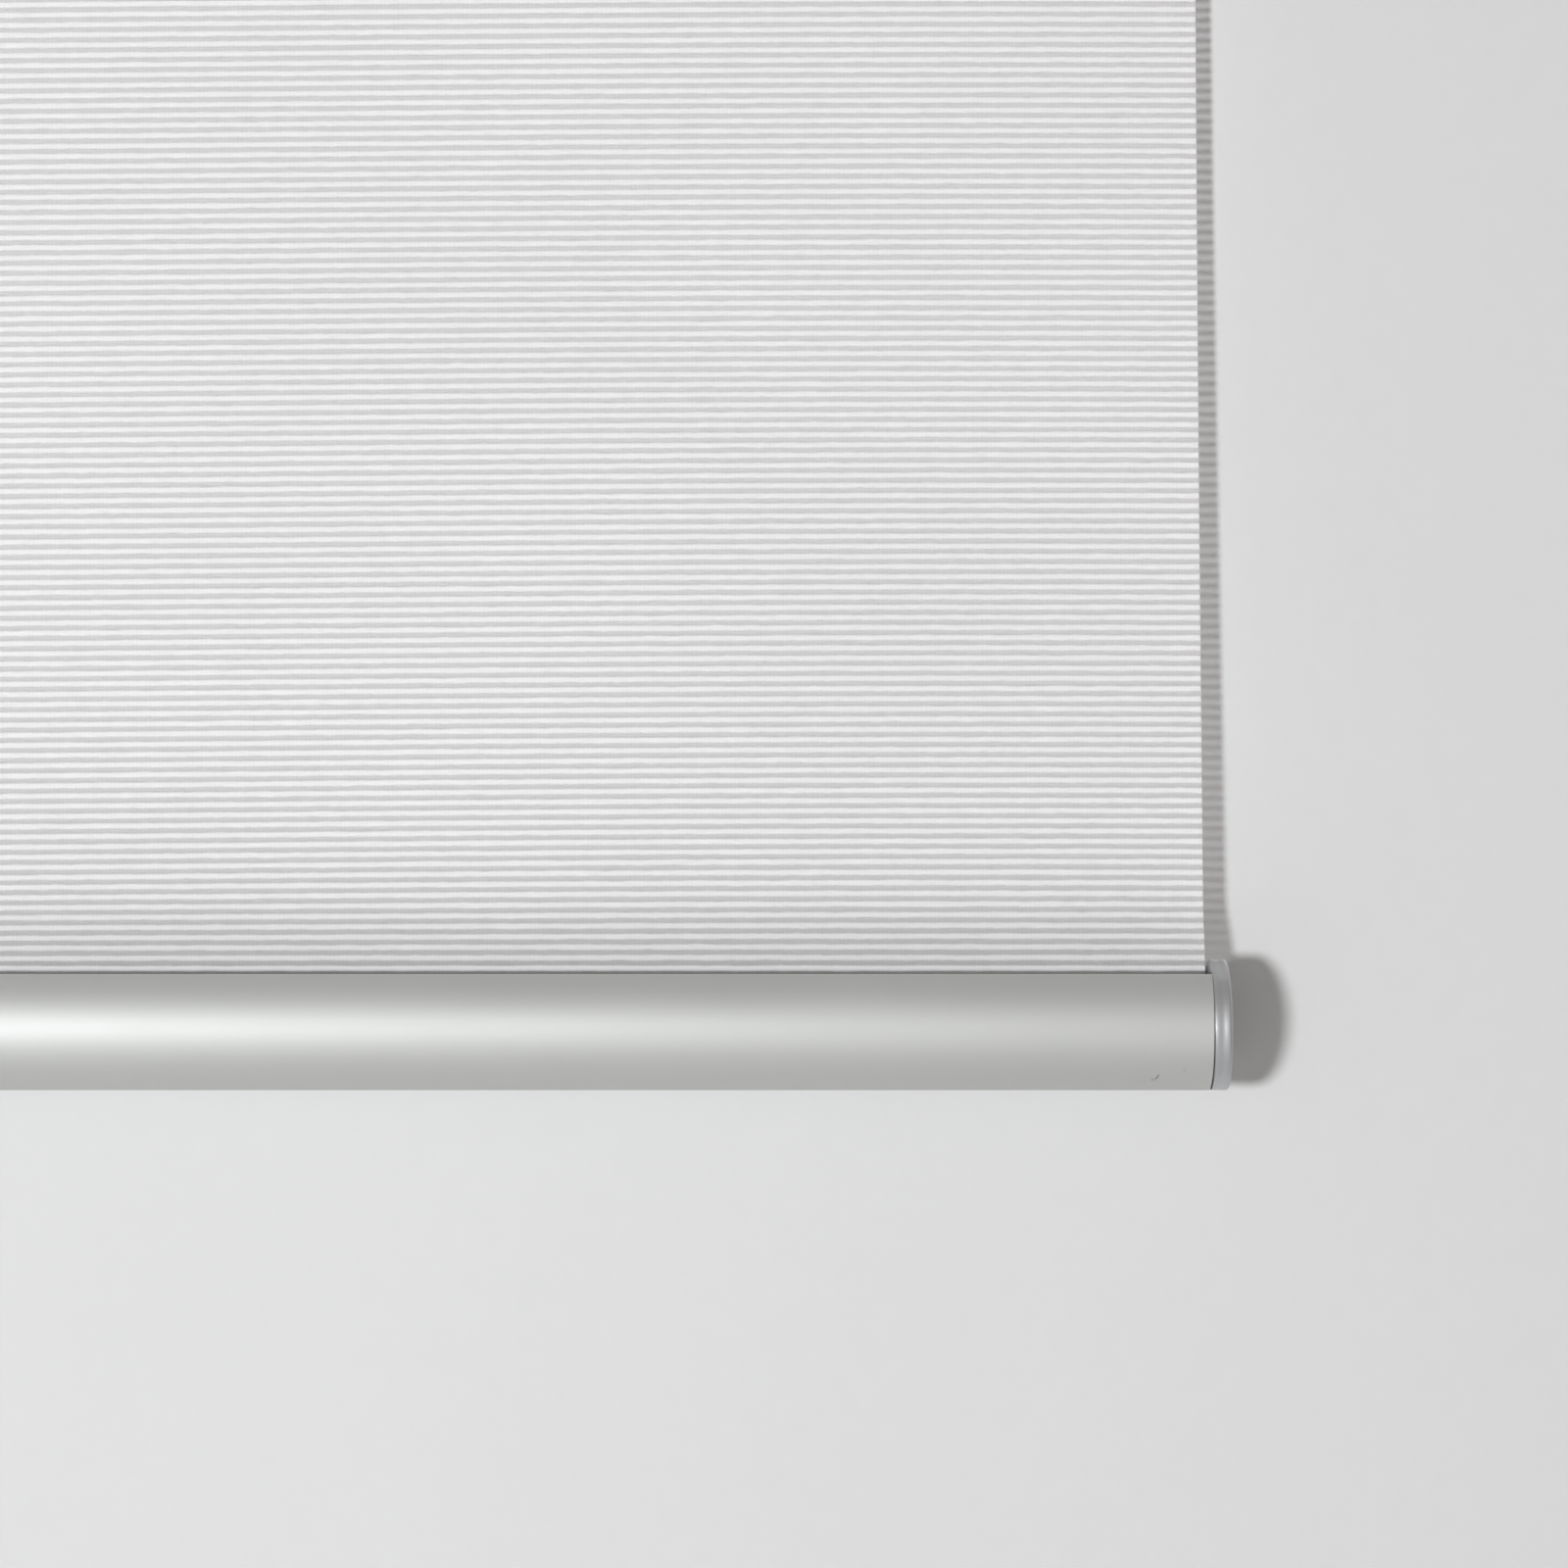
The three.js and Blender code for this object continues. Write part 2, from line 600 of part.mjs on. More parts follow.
const painted = 0xe9e9e6;
add('bracket_left', springBracket(), painted, 0.45, 0.1);
add('bracket_right', idleBracket(), painted, 0.45, 0.1);
add('bracket_cover_left', mirrored(bracketCover()), 0xf1f1ee, 0.5, 0);
add('bracket_cover_right', bracketCover(), 0xf1f1ee, 0.5, 0);
for (const [end, side] of [['left', -1], ['right', 1]]) {
  for (const [height, up] of [['upper', 1], ['lower', -1]]) {
    add(`screw_${end}_${height}`, wallScrew(), 0xb9babb, 0.3, 0.9,
      [side * flangeMiddle, 0, up * screwSpread / 2]);
  }
}
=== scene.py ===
import json
import math

import bmesh
import bpy
import numpy as np
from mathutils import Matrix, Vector
from mathutils.geometry import tessellate_polygon

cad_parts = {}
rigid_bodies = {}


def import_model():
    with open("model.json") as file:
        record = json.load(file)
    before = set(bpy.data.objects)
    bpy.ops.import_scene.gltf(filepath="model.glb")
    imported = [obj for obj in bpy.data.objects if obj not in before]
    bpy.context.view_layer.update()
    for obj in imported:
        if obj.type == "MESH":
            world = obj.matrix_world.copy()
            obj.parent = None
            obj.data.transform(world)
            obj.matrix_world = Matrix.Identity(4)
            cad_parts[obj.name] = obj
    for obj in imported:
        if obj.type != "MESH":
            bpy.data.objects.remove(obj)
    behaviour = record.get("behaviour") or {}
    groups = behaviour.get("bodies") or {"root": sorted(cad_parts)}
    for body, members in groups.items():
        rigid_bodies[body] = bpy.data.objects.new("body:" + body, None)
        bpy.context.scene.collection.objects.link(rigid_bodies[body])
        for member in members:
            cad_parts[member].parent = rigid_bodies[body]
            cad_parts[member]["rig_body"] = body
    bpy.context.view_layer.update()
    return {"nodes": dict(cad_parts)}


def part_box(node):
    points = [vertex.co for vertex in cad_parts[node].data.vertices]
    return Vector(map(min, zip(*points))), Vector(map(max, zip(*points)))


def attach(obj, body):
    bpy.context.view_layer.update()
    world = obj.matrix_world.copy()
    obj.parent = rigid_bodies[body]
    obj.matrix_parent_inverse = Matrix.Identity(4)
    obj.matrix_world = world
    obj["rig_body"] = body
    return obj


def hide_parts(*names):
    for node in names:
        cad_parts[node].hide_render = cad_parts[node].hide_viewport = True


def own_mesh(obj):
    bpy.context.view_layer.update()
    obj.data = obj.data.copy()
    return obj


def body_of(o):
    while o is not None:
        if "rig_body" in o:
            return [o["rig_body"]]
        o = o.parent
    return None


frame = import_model()
print("frame loaded,", len(frame["nodes"]), "parts")

scene = bpy.context.scene
scene.view_settings.view_transform = "Standard"
mm = 0.001

# ---- places and sizes, all read from the frame ----

barLow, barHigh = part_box("bottom_bar")
barRadius = (barHigh.y - barLow.y) / 2
barCentre = Vector((0, (barLow.y + barHigh.y) / 2, barLow.z + barRadius))
barEnd = barHigh.x
splineLow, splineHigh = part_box("bottom_spline")
clampCentre = (splineLow + splineHigh) / 2
sheetLow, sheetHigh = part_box("fabric_sheet")
wrapLow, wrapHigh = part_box("fabric_wrap")
rollerY = (wrapLow.y + wrapHigh.y) / 2
wrapRadius = (wrapHigh.z - wrapLow.z) / 2
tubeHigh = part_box("roller_tube")[1]


# ---- camera, light and room ----

view = dict(x=0.223, back=0.846, above=0.0442, lens=105.8)


def makeCamera():
    data = bpy.data.cameras.new("camera")
    data.lens = view["lens"]
    data.sensor_width = 36
    data.clip_start = 0.01
    data.clip_end = 50
    camera = bpy.data.objects.new("camera", data)
    scene.collection.objects.link(camera)
    camera.location = (view["x"], barCentre.y - view["back"], barCentre.z + view["above"])
    camera.rotation_euler = (math.pi / 2, 0, 0)
    scene.camera = camera
    return camera


lights = dict(
    key=dict(place=(-0.44, -1.50, -1.01), aim=(0.55, 0, -0.90), size=(0.21, 0.24), power=21.3,
             colour=(0.955, 0.970, 0.995)),
    back=dict(place=(0.8, 2.4, 0.9), aim=(0, 0, -0.5), size=(2.0, 2.0), power=18.0, colour=(1, 0.99, 0.97)),
)


def makeLight(name, place, aim, size, power, colour):
    data = bpy.data.lights.new(name, "AREA")
    data.shape = "ELLIPSE"
    data.size, data.size_y = size
    data.energy = power
    data.color = colour
    lamp = bpy.data.objects.new(name, data)
    lamp.visible_camera = False
    scene.collection.objects.link(lamp)
    lamp.location = place
    lamp.rotation_euler = (Vector(aim) - Vector(place)).to_track_quat("-Z", "Y").to_euler()
    return lamp


room = dict(
    wallY=0.0004, wallHalf=1.25, wallTop=0.75, floorZ=-1.55, floorHalf=5.0,
    wallColour=(0.65, 0.65, 0.65), floorColour=(0.62, 0.618, 0.61),
    horizon=(-0.25, 0.55),     # the sky's low colour turns into its high one between these heights
    worldLow=(0.70, 0.672, 0.635), worldHigh=(0.33, 0.316, 0.298), worldStrength=0.835,
)


def makeWorld():
    world = bpy.data.worlds.new("studio")
    scene.world = world
    world.use_nodes = True
    tree = world.node_tree
    tree.nodes.clear()
    where = tree.nodes.new("ShaderNodeTexCoord")
    split = tree.nodes.new("ShaderNodeSeparateXYZ")
    tree.links.new(where.outputs["Generated"], split.inputs[0])
    height = tree.nodes.new("ShaderNodeMapRange")
    height.interpolation_type = "SMOOTHSTEP"
    height.inputs["From Min"].default_value = room["horizon"][0]
    height.inputs["From Max"].default_value = room["horizon"][1]
    tree.links.new(split.outputs["Z"], height.inputs["Value"])
    mix = tree.nodes.new("ShaderNodeMix")
    mix.data_type = "RGBA"
    mix.inputs[6].default_value = (*room["worldLow"], 1)
    mix.inputs[7].default_value = (*room["worldHigh"], 1)
    tree.links.new(height.outputs[0], mix.inputs[0])
    glow = tree.nodes.new("ShaderNodeBackground")
    glow.inputs["Strength"].default_value = room["worldStrength"]
    tree.links.new(mix.outputs[2], glow.inputs["Color"])
    out = tree.nodes.new("ShaderNodeOutputWorld")
    tree.links.new(glow.outputs[0], out.inputs["Surface"])


# ---- small helpers for node trees ----

def nodeIn(tree, kind, **values):
    node = tree.nodes.new(kind)
    for key, value in values.items():
        if hasattr(node, key):
            setattr(node, key, value)
        else:
            node.inputs[key.replace("_", " ")].default_value = value
    return node


def mathNode(tree, operation, first, second=None, third=None, clamp=False):
    node = tree.nodes.new("ShaderNodeMath")
    node.operation = operation
    node.use_clamp = clamp
    for i, value in enumerate((first, second, third)):
        if value is None:
            continue
        if isinstance(value, (int, float)):
            node.inputs[i].default_value = value
        else:
            tree.links.new(value, node.inputs[i])
    return node.outputs[0]


def mixColours(tree, factor, first, second, blend="MIX"):
    node = tree.nodes.new("ShaderNodeMix")
    node.data_type = "RGBA"
    node.blend_type = blend
    # sockets 0, 6 and 7 are the colour mix's factor and its two colours
    for i, value in ((0, factor), (6, first), (7, second)):
        if isinstance(value, (int, float)):
            node.inputs[i].default_value = value
        elif isinstance(value, tuple):
            node.inputs[i].default_value = (*value, 1)
        else:
            tree.links.new(value, node.inputs[i])
    return node.outputs[2]


# A colour darkened or lightened evenly by a tone near 1.
def toned(tree, colour, tone):
    grey = tree.nodes.new("ShaderNodeCombineColor")
    for i in range(3):
        tree.links.new(tone, grey.inputs[i])
    return mixColours(tree, 1.0, colour, grey.outputs[0], "MULTIPLY")


# A tone that varies by the amount about 1 as a mask goes from 0 to 1.
def toneFrom(tree, mask, amount):
    return mathNode(tree, "MULTIPLY_ADD", mask, amount, 1 - amount / 2)


def newGroup(name, inputs, outputs):
    group = bpy.data.node_groups.new(name, "ShaderNodeTree")
    for label, kind, value in inputs:
        socket = group.interface.new_socket(label, in_out="INPUT", socket_type=kind)
        if value is not None:
            socket.default_value = value
    for label, kind in outputs:
        group.interface.new_socket(label, in_out="OUTPUT", socket_type=kind)
    start = group.nodes.new("NodeGroupInput")
    end = group.nodes.new("NodeGroupOutput")
    return group, start, end


def useGroup(tree, group, **values):
    node = tree.nodes.new("ShaderNodeGroup")
    node.node_tree = group
    for key, value in values.items():
        if isinstance(value, (int, float, tuple)):
            node.inputs[key].default_value = value
        else:
            tree.links.new(value, node.inputs[key])
    return node


def newMaterial(name):
    material = bpy.data.materials.new(name)
    material.use_nodes = True
    tree = material.node_tree
    shader = tree.nodes["Principled BSDF"]
    return material, tree, shader, tree.nodes["Material Output"]


floatSocket, vectorSocket = "NodeSocketFloat", "NodeSocketVector"


# Fine grain drawn out along X, with soft blotches: both from Object coordinates.
def makeDrawnGrain():
    group, start, end = newGroup(
        "drawnGrain",
        [("Along", floatSocket, 12.0), ("Across", floatSocket, 2600.0), ("Blotch", floatSocket, 26.0)],
        [("Grain", floatSocket), ("Blotches", floatSocket)])
    where = group.nodes.new("ShaderNodeTexCoord")
    split = group.nodes.new("ShaderNodeSeparateXYZ")
    group.links.new(where.outputs["Object"], split.inputs[0])
    join = group.nodes.new("ShaderNodeCombineXYZ")
    for axis, scale in (("X", "Along"), ("Y", "Across"), ("Z", "Across")):
        scaled = mathNode(group, "MULTIPLY", split.outputs[axis], start.outputs[scale])
        group.links.new(scaled, join.inputs[axis])
    fine = nodeIn(group, "ShaderNodeTexNoise", Scale=1.0, Detail=3.0, Roughness=0.6)
    group.links.new(join.outputs[0], fine.inputs["Vector"])
    soft = nodeIn(group, "ShaderNodeTexNoise", Detail=4.0, Roughness=0.62)
    group.links.new(where.outputs["Object"], soft.inputs["Vector"])
    group.links.new(start.outputs["Blotch"], soft.inputs["Scale"])
    group.links.new(fine.outputs[0], end.inputs["Grain"])
    group.links.new(soft.outputs[0], end.inputs["Blotches"])
    return group


# Even speckle for moulded, cast or sprayed surfaces, and a wide mottling.
def makeSpeckle():
    group, start, end = newGroup(
        "speckle", [("Fine", floatSocket, 2400.0), ("Wide", floatSocket, 55.0)],
        [("Speckle", floatSocket), ("Mottle", floatSocket)])
    where = group.nodes.new("ShaderNodeTexCoord")
    for socket, label, detail in (("Fine", "Speckle", 2.0), ("Wide", "Mottle", 4.0)):
        noise = nodeIn(group, "ShaderNodeTexNoise", Detail=detail, Roughness=0.6)
        group.links.new(where.outputs["Object"], noise.inputs["Vector"])
        group.links.new(start.outputs[socket], noise.inputs["Scale"])
        group.links.new(noise.outputs[0], end.inputs[label])
    return group


# How far a surface is turned out at an edge, from Geometry's Pointiness: 1 on worn edges.
def makeEdgeWear():
    group, start, end = newGroup(
        "edgeWear", [("From", floatSocket, 0.53), ("To", floatSocket, 0.60)], [("Wear", floatSocket)])
    shape = group.nodes.new("ShaderNodeNewGeometry")
    where = group.nodes.new("ShaderNodeTexCoord")
    noise = nodeIn(group, "ShaderNodeTexNoise", Scale=300.0, Detail=3.0)
    group.links.new(where.outputs["Object"], noise.inputs["Vector"])
    ragged = mathNode(group, "MULTIPLY_ADD", noise.outputs[0], 0.06, shape.outputs["Pointiness"])
    spread = nodeIn(group, "ShaderNodeMapRange", interpolation_type="SMOOTHSTEP")
    group.links.new(mathNode(group, "SUBTRACT", ragged, 0.03), spread.inputs["Value"])
    group.links.new(start.outputs["From"], spread.inputs["From Min"])
    group.links.new(start.outputs["To"], spread.inputs["From Max"])
    group.links.new(spread.outputs[0], end.inputs["Wear"])
    return group


# The weave from the cloth's own map: U is metres across, V counts ribs. A rib is where V's
# fraction lies near a half, with edges moved by noise that is long along the rib.
def makeRibWeave():
    group, start, end = newGroup(
        "ribWeave",
        [("Half", floatSocket, 0.28), ("Soft", floatSocket, 0.07), ("Wander", floatSocket, 0.10),
         ("Threads", floatSocket, 1250.0)],
        [("Rib", floatSocket), ("Thread", floatSocket), ("Slub", floatSocket), ("Cloud", floatSocket)])
    uv = nodeIn(group, "ShaderNodeUVMap", uv_map="clothMap")
    split = group.nodes.new("ShaderNodeSeparateXYZ")
    group.links.new(uv.outputs[0], split.inputs[0])
    across, ribs = split.outputs["X"], split.outputs["Y"]

    def noiseAt(alongScale, ribScale, offset, detail=2.0):
        join = group.nodes.new("ShaderNodeCombineXYZ")
        group.links.new(mathNode(group, "MULTIPLY", across, alongScale), join.inputs["X"])
        group.links.new(mathNode(group, "MULTIPLY", ribs, ribScale), join.inputs["Y"])
        join.inputs["Z"].default_value = offset
        noise = nodeIn(group, "ShaderNodeTexNoise", Scale=1.0, Detail=detail, Roughness=0.55)
        group.links.new(join.outputs[0], noise.inputs["Vector"])
        return noise.outputs[0]

    wander = mathNode(group, "MULTIPLY", mathNode(group, "SUBTRACT", noiseAt(170.0, 0.9, 0.0, 4.0), 0.5),
                      mathNode(group, "MULTIPLY", start.outputs["Wander"], 2.0))
    width = mathNode(group, "MULTIPLY", mathNode(group, "SUBTRACT", noiseAt(260.0, 1.3, 7.3, 5.0), 0.5),
                     mathNode(group, "MULTIPLY", start.outputs["Wander"], 1.6))
    turn = mathNode(group, "FRACT", mathNode(group, "ADD", ribs, wander))
    away = mathNode(group, "ABSOLUTE", mathNode(group, "SUBTRACT", turn, 0.5))
    edge = mathNode(group, "ADD", start.outputs["Half"], width)
    rib = nodeIn(group, "ShaderNodeMapRange", interpolation_type="SMOOTHSTEP")
    group.links.new(mathNode(group, "SUBTRACT", edge, away), rib.inputs["Value"])
    group.links.new(mathNode(group, "MULTIPLY", start.outputs["Soft"], -1.0), rib.inputs["From Min"])
    group.links.new(start.outputs["Soft"], rib.inputs["From Max"])
    perMetre = mathNode(group, "MULTIPLY", start.outputs["Threads"], 2 * math.pi)
    drift = mathNode(group, "MULTIPLY", noiseAt(60.0, 0.05, 3.1), 3.0)
    phase = mathNode(group, "ADD", mathNode(group, "MULTIPLY", across, perMetre), drift)
    thread = mathNode(group, "SINE", phase)
    group.links.new(rib.outputs[0], end.inputs["Rib"])
    group.links.new(mathNode(group, "MULTIPLY_ADD", thread, 0.5, 0.5), end.inputs["Thread"])
    group.links.new(noiseAt(420.0, 2.6, 11.7, 3.0), end.inputs["Slub"])
    group.links.new(noiseAt(9.0, 0.022, 5.5, 3.0), end.inputs["Cloud"])
    return group


# A small ragged mark: 1 inside a slanted ellipse about Place, frayed by fine noise.
def makeScuff():
    group, start, end = newGroup(
        "scuff", [("Place", vectorSocket, None), ("Size", vectorSocket, None)], [("Mark", floatSocket)])
    where = group.nodes.new("ShaderNodeTexCoord")
    away = nodeIn(group, "ShaderNodeVectorMath", operation="SUBTRACT")
    group.links.new(where.outputs["Object"], away.inputs[0])
    group.links.new(start.outputs["Place"], away.inputs[1])
    slant = nodeIn(group, "ShaderNodeVectorRotate", rotation_type="Y_AXIS")
    slant.inputs["Angle"].default_value = math.radians(-32)
    group.links.new(away.outputs[0], slant.inputs["Vector"])
    shrunk = nodeIn(group, "ShaderNodeVectorMath", operation="DIVIDE")
    group.links.new(slant.outputs[0], shrunk.inputs[0])
    group.links.new(start.outputs["Size"], shrunk.inputs[1])
    far = nodeIn(group, "ShaderNodeVectorMath", operation="LENGTH")
    group.links.new(shrunk.outputs[0], far.inputs[0])
    fray = nodeIn(group, "ShaderNodeTexNoise", Scale=2600.0, Detail=3.0)
    group.links.new(where.outputs["Object"], fray.inputs["Vector"])
    ragged = mathNode(group, "MULTIPLY_ADD", fray.outputs[0], 1.6,
                      mathNode(group, "SUBTRACT", far.outputs["Value"], 0.8))
    mark = nodeIn(group, "ShaderNodeMapRange", interpolation_type="SMOOTHSTEP")
    mark.inputs["From Min"].default_value = 1.1
    mark.inputs["From Max"].default_value = 0.6
    group.links.new(ragged, mark.inputs["Value"])
    group.links.new(mark.outputs[0], end.inputs["Mark"])
    return group


drawnGrain = makeDrawnGrain()
scuff = makeScuff()
speckle = makeSpeckle()
edgeWear = makeEdgeWear()
ribWeave = makeRibWeave()


# ---- materials ----

# The gauze colour's grey is partly its thinner weave and partly painted shade, standing in for the shadowed
# wall seen through the open gauze.
cloth = dict(
    rib=(0.936, 0.933, 0.940), gauzeWithShade=(0.726, 0.723, 0.730),
    half=0.245, soft=0.10, wander=0.075,     # half a rib's width, its edges' softness and wander, in pitches
    threads=1250.0,                          # a metre
    slubTone=0.10, cloudTone=0.07, threadTone=0.030,
    rough=0.85, roughVary=0.2, gloss=0.25, sheen=0.08,
    heights=(0.55, 0.35, 0.10), bump=0.45,   # of a rib, a slub and a thread
    through=0.45, open=0.66,                 # light that shines through, and the gauze's openness
)


# The hanging cloth is open between its ribs. On the roll its turns lie on each other and close it.
def clothMaterial(name, openness):
    material, tree, shader, out = newMaterial(name)
    weave = useGroup(tree, ribWeave, Half=cloth["half"], Soft=cloth["soft"], Wander=cloth["wander"],
                     Threads=cloth["threads"])
    rib, thread, slub, cloud = (weave.outputs[k] for k in ("Rib", "Thread", "Slub", "Cloud"))
    # between the ribs the colour is the gauze's, whose grey is partly painted shade of the wall behind
    base = mixColours(tree, rib, cloth["gauzeWithShade"], cloth["rib"])
    tone = toneFrom(tree, slub, cloth["slubTone"])
    tone = mathNode(tree, "MULTIPLY", tone, toneFrom(tree, cloud, cloth["cloudTone"]))
    tone = mathNode(tree, "MULTIPLY", tone, toneFrom(tree, thread, cloth["threadTone"]))
    colour = toned(tree, base, tone)
    tree.links.new(colour, shader.inputs["Base Color"])
    rough = mathNode(tree, "MULTIPLY_ADD", slub, cloth["roughVary"], cloth["rough"] - cloth["roughVary"] / 2)
    tree.links.new(rough, shader.inputs["Roughness"])
    shader.inputs["Specular IOR Level"].default_value = cloth["gloss"]
    shader.inputs["Sheen Weight"].default_value = cloth["sheen"]
    ribHigh, slubHigh, threadHigh = cloth["heights"]
    height = mathNode(tree, "ADD", mathNode(tree, "MULTIPLY", rib, ribHigh),
                      mathNode(tree, "ADD", mathNode(tree, "MULTIPLY", slub, slubHigh),
                               mathNode(tree, "MULTIPLY", thread, threadHigh)))
    bump = nodeIn(tree, "ShaderNodeBump", Strength=cloth["bump"], Distance=0.1 * mm)
    tree.links.new(height, bump.inputs["Height"])
    tree.links.new(bump.outputs[0], shader.inputs["Normal"])
    glow = tree.nodes.new("ShaderNodeBsdfTranslucent")
    tree.links.new(colour, glow.inputs["Color"])
    mix = tree.nodes.new("ShaderNodeMixShader")
    mix.inputs[0].default_value = cloth["through"]
    tree.links.new(shader.outputs[0], mix.inputs[1])
    tree.links.new(glow.outputs[0], mix.inputs[2])
    if openness == 0:
        tree.links.new(mix.outputs[0], out.inputs["Surface"])
        return material
    clear = tree.nodes.new("ShaderNodeBsdfTransparent")
    last = tree.nodes.new("ShaderNodeMixShader")
    opening = mathNode(tree, "MULTIPLY", mathNode(tree, "SUBTRACT", 1.0, rib), openness)
    tree.links.new(opening, last.inputs[0])
    tree.links.new(mix.outputs[0], last.inputs[1])
    tree.links.new(clear.outputs[0], last.inputs[2])
    tree.links.new(last.outputs[0], out.inputs["Surface"])
    return material


metalLooks = dict(
    satinAluminium=dict(colour=(0.532, 0.540, 0.527), metal=0.62, rough=0.585, roughVary=0.08, grain=0.03,
                        along=14.0, across=2200.0, blotch=22.0, tone=0.05, bump=0.12, spread=0.26,
                        scuffs=(((10.1 * mm, 0.86), (0.28 * mm, 1.5 * mm, 0.95 * mm), 0.60),
                                ((10.9 * mm, 0.93), (0.45 * mm, 1.5 * mm, 0.40 * mm), 0.30),
                                ((5.2 * mm, 0.70), (0.20 * mm, 1.5 * mm, 0.8 * mm), 0.20))),
    tubeAluminium=dict(colour=(0.66, 0.665, 0.66), metal=1.0, rough=0.34, roughVary=0.12, grain=0.06,
                       along=10.0, across=1600.0, blotch=30.0, tone=0.08, bump=0.2, spread=0.4),
    platedSteel=dict(colour=(0.60, 0.615, 0.62), metal=1.0, rough=0.30, roughVary=0.16, grain=0.05,
                     along=900.0, across=900.0, blotch=120.0, tone=0.12, bump=0.1),
    springSteel=dict(colour=(0.27, 0.275, 0.285), metal=1.0, rough=0.30, roughVary=0.12, grain=0.05,
                     along=400.0, across=900.0, blotch=90.0, tone=0.14, bump=0.1),
    brass=dict(colour=(0.66, 0.52, 0.27), metal=1.0, rough=0.30, roughVary=0.14, grain=0.06,
               along=500.0, across=700.0, blotch=110.0, tone=0.14, bump=0.12),
)
scuffColour = (0.20, 0.20, 0.20)
wornBrighter, metalWorn, mouldWorn = 1.18, 0.5, 0.6     # how bright worn metal is, and how much wear shows


# Drawn metal has a spread, which lengthens its highlight round the section, across the grain.
# A scuff is placed by its distance from the bar's right end and its angle below level.
def metalMaterial(name):
    look = metalLooks[name]
    material, tree, shader, out = newMaterial(name)
    grain = useGroup(tree, drawnGrain, Along=look["along"], Across=look["across"], Blotch=look["blotch"])
    wear = useGroup(tree, edgeWear)
    tone = mathNode(tree, "MULTIPLY", toneFrom(tree, grain.outputs["Blotches"], look["tone"]),
                    toneFrom(tree, grain.outputs["Grain"], look["grain"]))
    colour = toned(tree, look["colour"], tone)
    for place, size, depth in look.get("scuffs", ()):
        spot = barCentre + Vector((0, -barRadius * math.cos(place[1]), -barRadius * math.sin(place[1])))
        spot.x = barEnd - place[0]
        mark = useGroup(tree, scuff, Place=tuple(spot), Size=size)
        colour = mixColours(tree, mathNode(tree, "MULTIPLY", mark.outputs[0], depth), colour, scuffColour)
    bright = tuple(min(1.0, c * wornBrighter) for c in look["colour"])
    worn = mathNode(tree, "MULTIPLY", wear.outputs[0], metalWorn)
    tree.links.new(mixColours(tree, worn, colour, bright), shader.inputs["Base Color"])
    rough = mathNode(tree, "MULTIPLY_ADD", grain.outputs["Blotches"], look["roughVary"],
                     look["rough"] - look["roughVary"] / 2)
    tree.links.new(rough, shader.inputs["Roughness"])
    shader.inputs["Metallic"].default_value = look["metal"]
    if "spread" in look:
        shader.inputs["Anisotropic"].default_value = look["spread"]
        aboutX = nodeIn(tree, "ShaderNodeTangent", direction_type="RADIAL", axis="X")
        tree.links.new(aboutX.outputs[0], shader.inputs["Tangent"])
    bump = nodeIn(tree, "ShaderNodeBump", Strength=look["bump"], Distance=0.03 * mm)
    tree.links.new(grain.outputs["Grain"], bump.inputs["Height"])
    tree.links.new(bump.outputs[0], shader.inputs["Normal"])
    return material


mouldLooks = dict(
    silverCap=dict(colour=(0.475, 0.482, 0.492), metal=0.70, rough=0.43, roughVary=0.12, tone=0.10,
                   coat=0.15, fine=1500.0, wide=140.0, bump=0.25, worn=(0.80, 0.81, 0.82)),
    whitePlastic=dict(colour=(0.84, 0.84, 0.82), metal=0.0, rough=0.46, roughVary=0.12, tone=0.05, coat=0.0,
                      fine=2600.0, wide=60.0, bump=0.25, worn=(0.90, 0.90, 0.89)),
    bracketPaint=dict(colour=(0.83, 0.83, 0.81), metal=0.0, rough=0.40, roughVary=0.10, tone=0.05, coat=0.1,
                      fine=1800.0, wide=80.0, bump=0.35, worn=(0.62, 0.63, 0.64)),
)


def mouldMaterial(name):
    look = mouldLooks[name]
    material, tree, shader, out = newMaterial(name)
    grain = useGroup(tree, speckle, Fine=look["fine"], Wide=look["wide"])
    wear = useGroup(tree, edgeWear)
    colour = toned(tree, look["colour"], toneFrom(tree, grain.outputs["Mottle"], look["tone"]))
    worn = mathNode(tree, "MULTIPLY", wear.outputs[0], mouldWorn)
    tree.links.new(mixColours(tree, worn, colour, look["worn"]), shader.inputs["Base Color"])
    rough = mathNode(tree, "MULTIPLY_ADD", grain.outputs["Mottle"], look["roughVary"],
                     look["rough"] - look["roughVary"] / 2)
    tree.links.new(rough, shader.inputs["Roughness"])
    shader.inputs["Metallic"].default_value = look["metal"]
    shader.inputs["Coat Weight"].default_value = look["coat"]
    bump = nodeIn(tree, "ShaderNodeBump", Strength=look["bump"], Distance=0.04 * mm)
    tree.links.new(grain.outputs["Speckle"], bump.inputs["Height"])
    tree.links.new(bump.outputs[0], shader.inputs["Normal"])
    return material


plaster = dict(fine=170.0, wide=9.0, mottleTone=0.03, speckleTone=0.02, rough=0.9, gloss=0.15, bump=0.25)


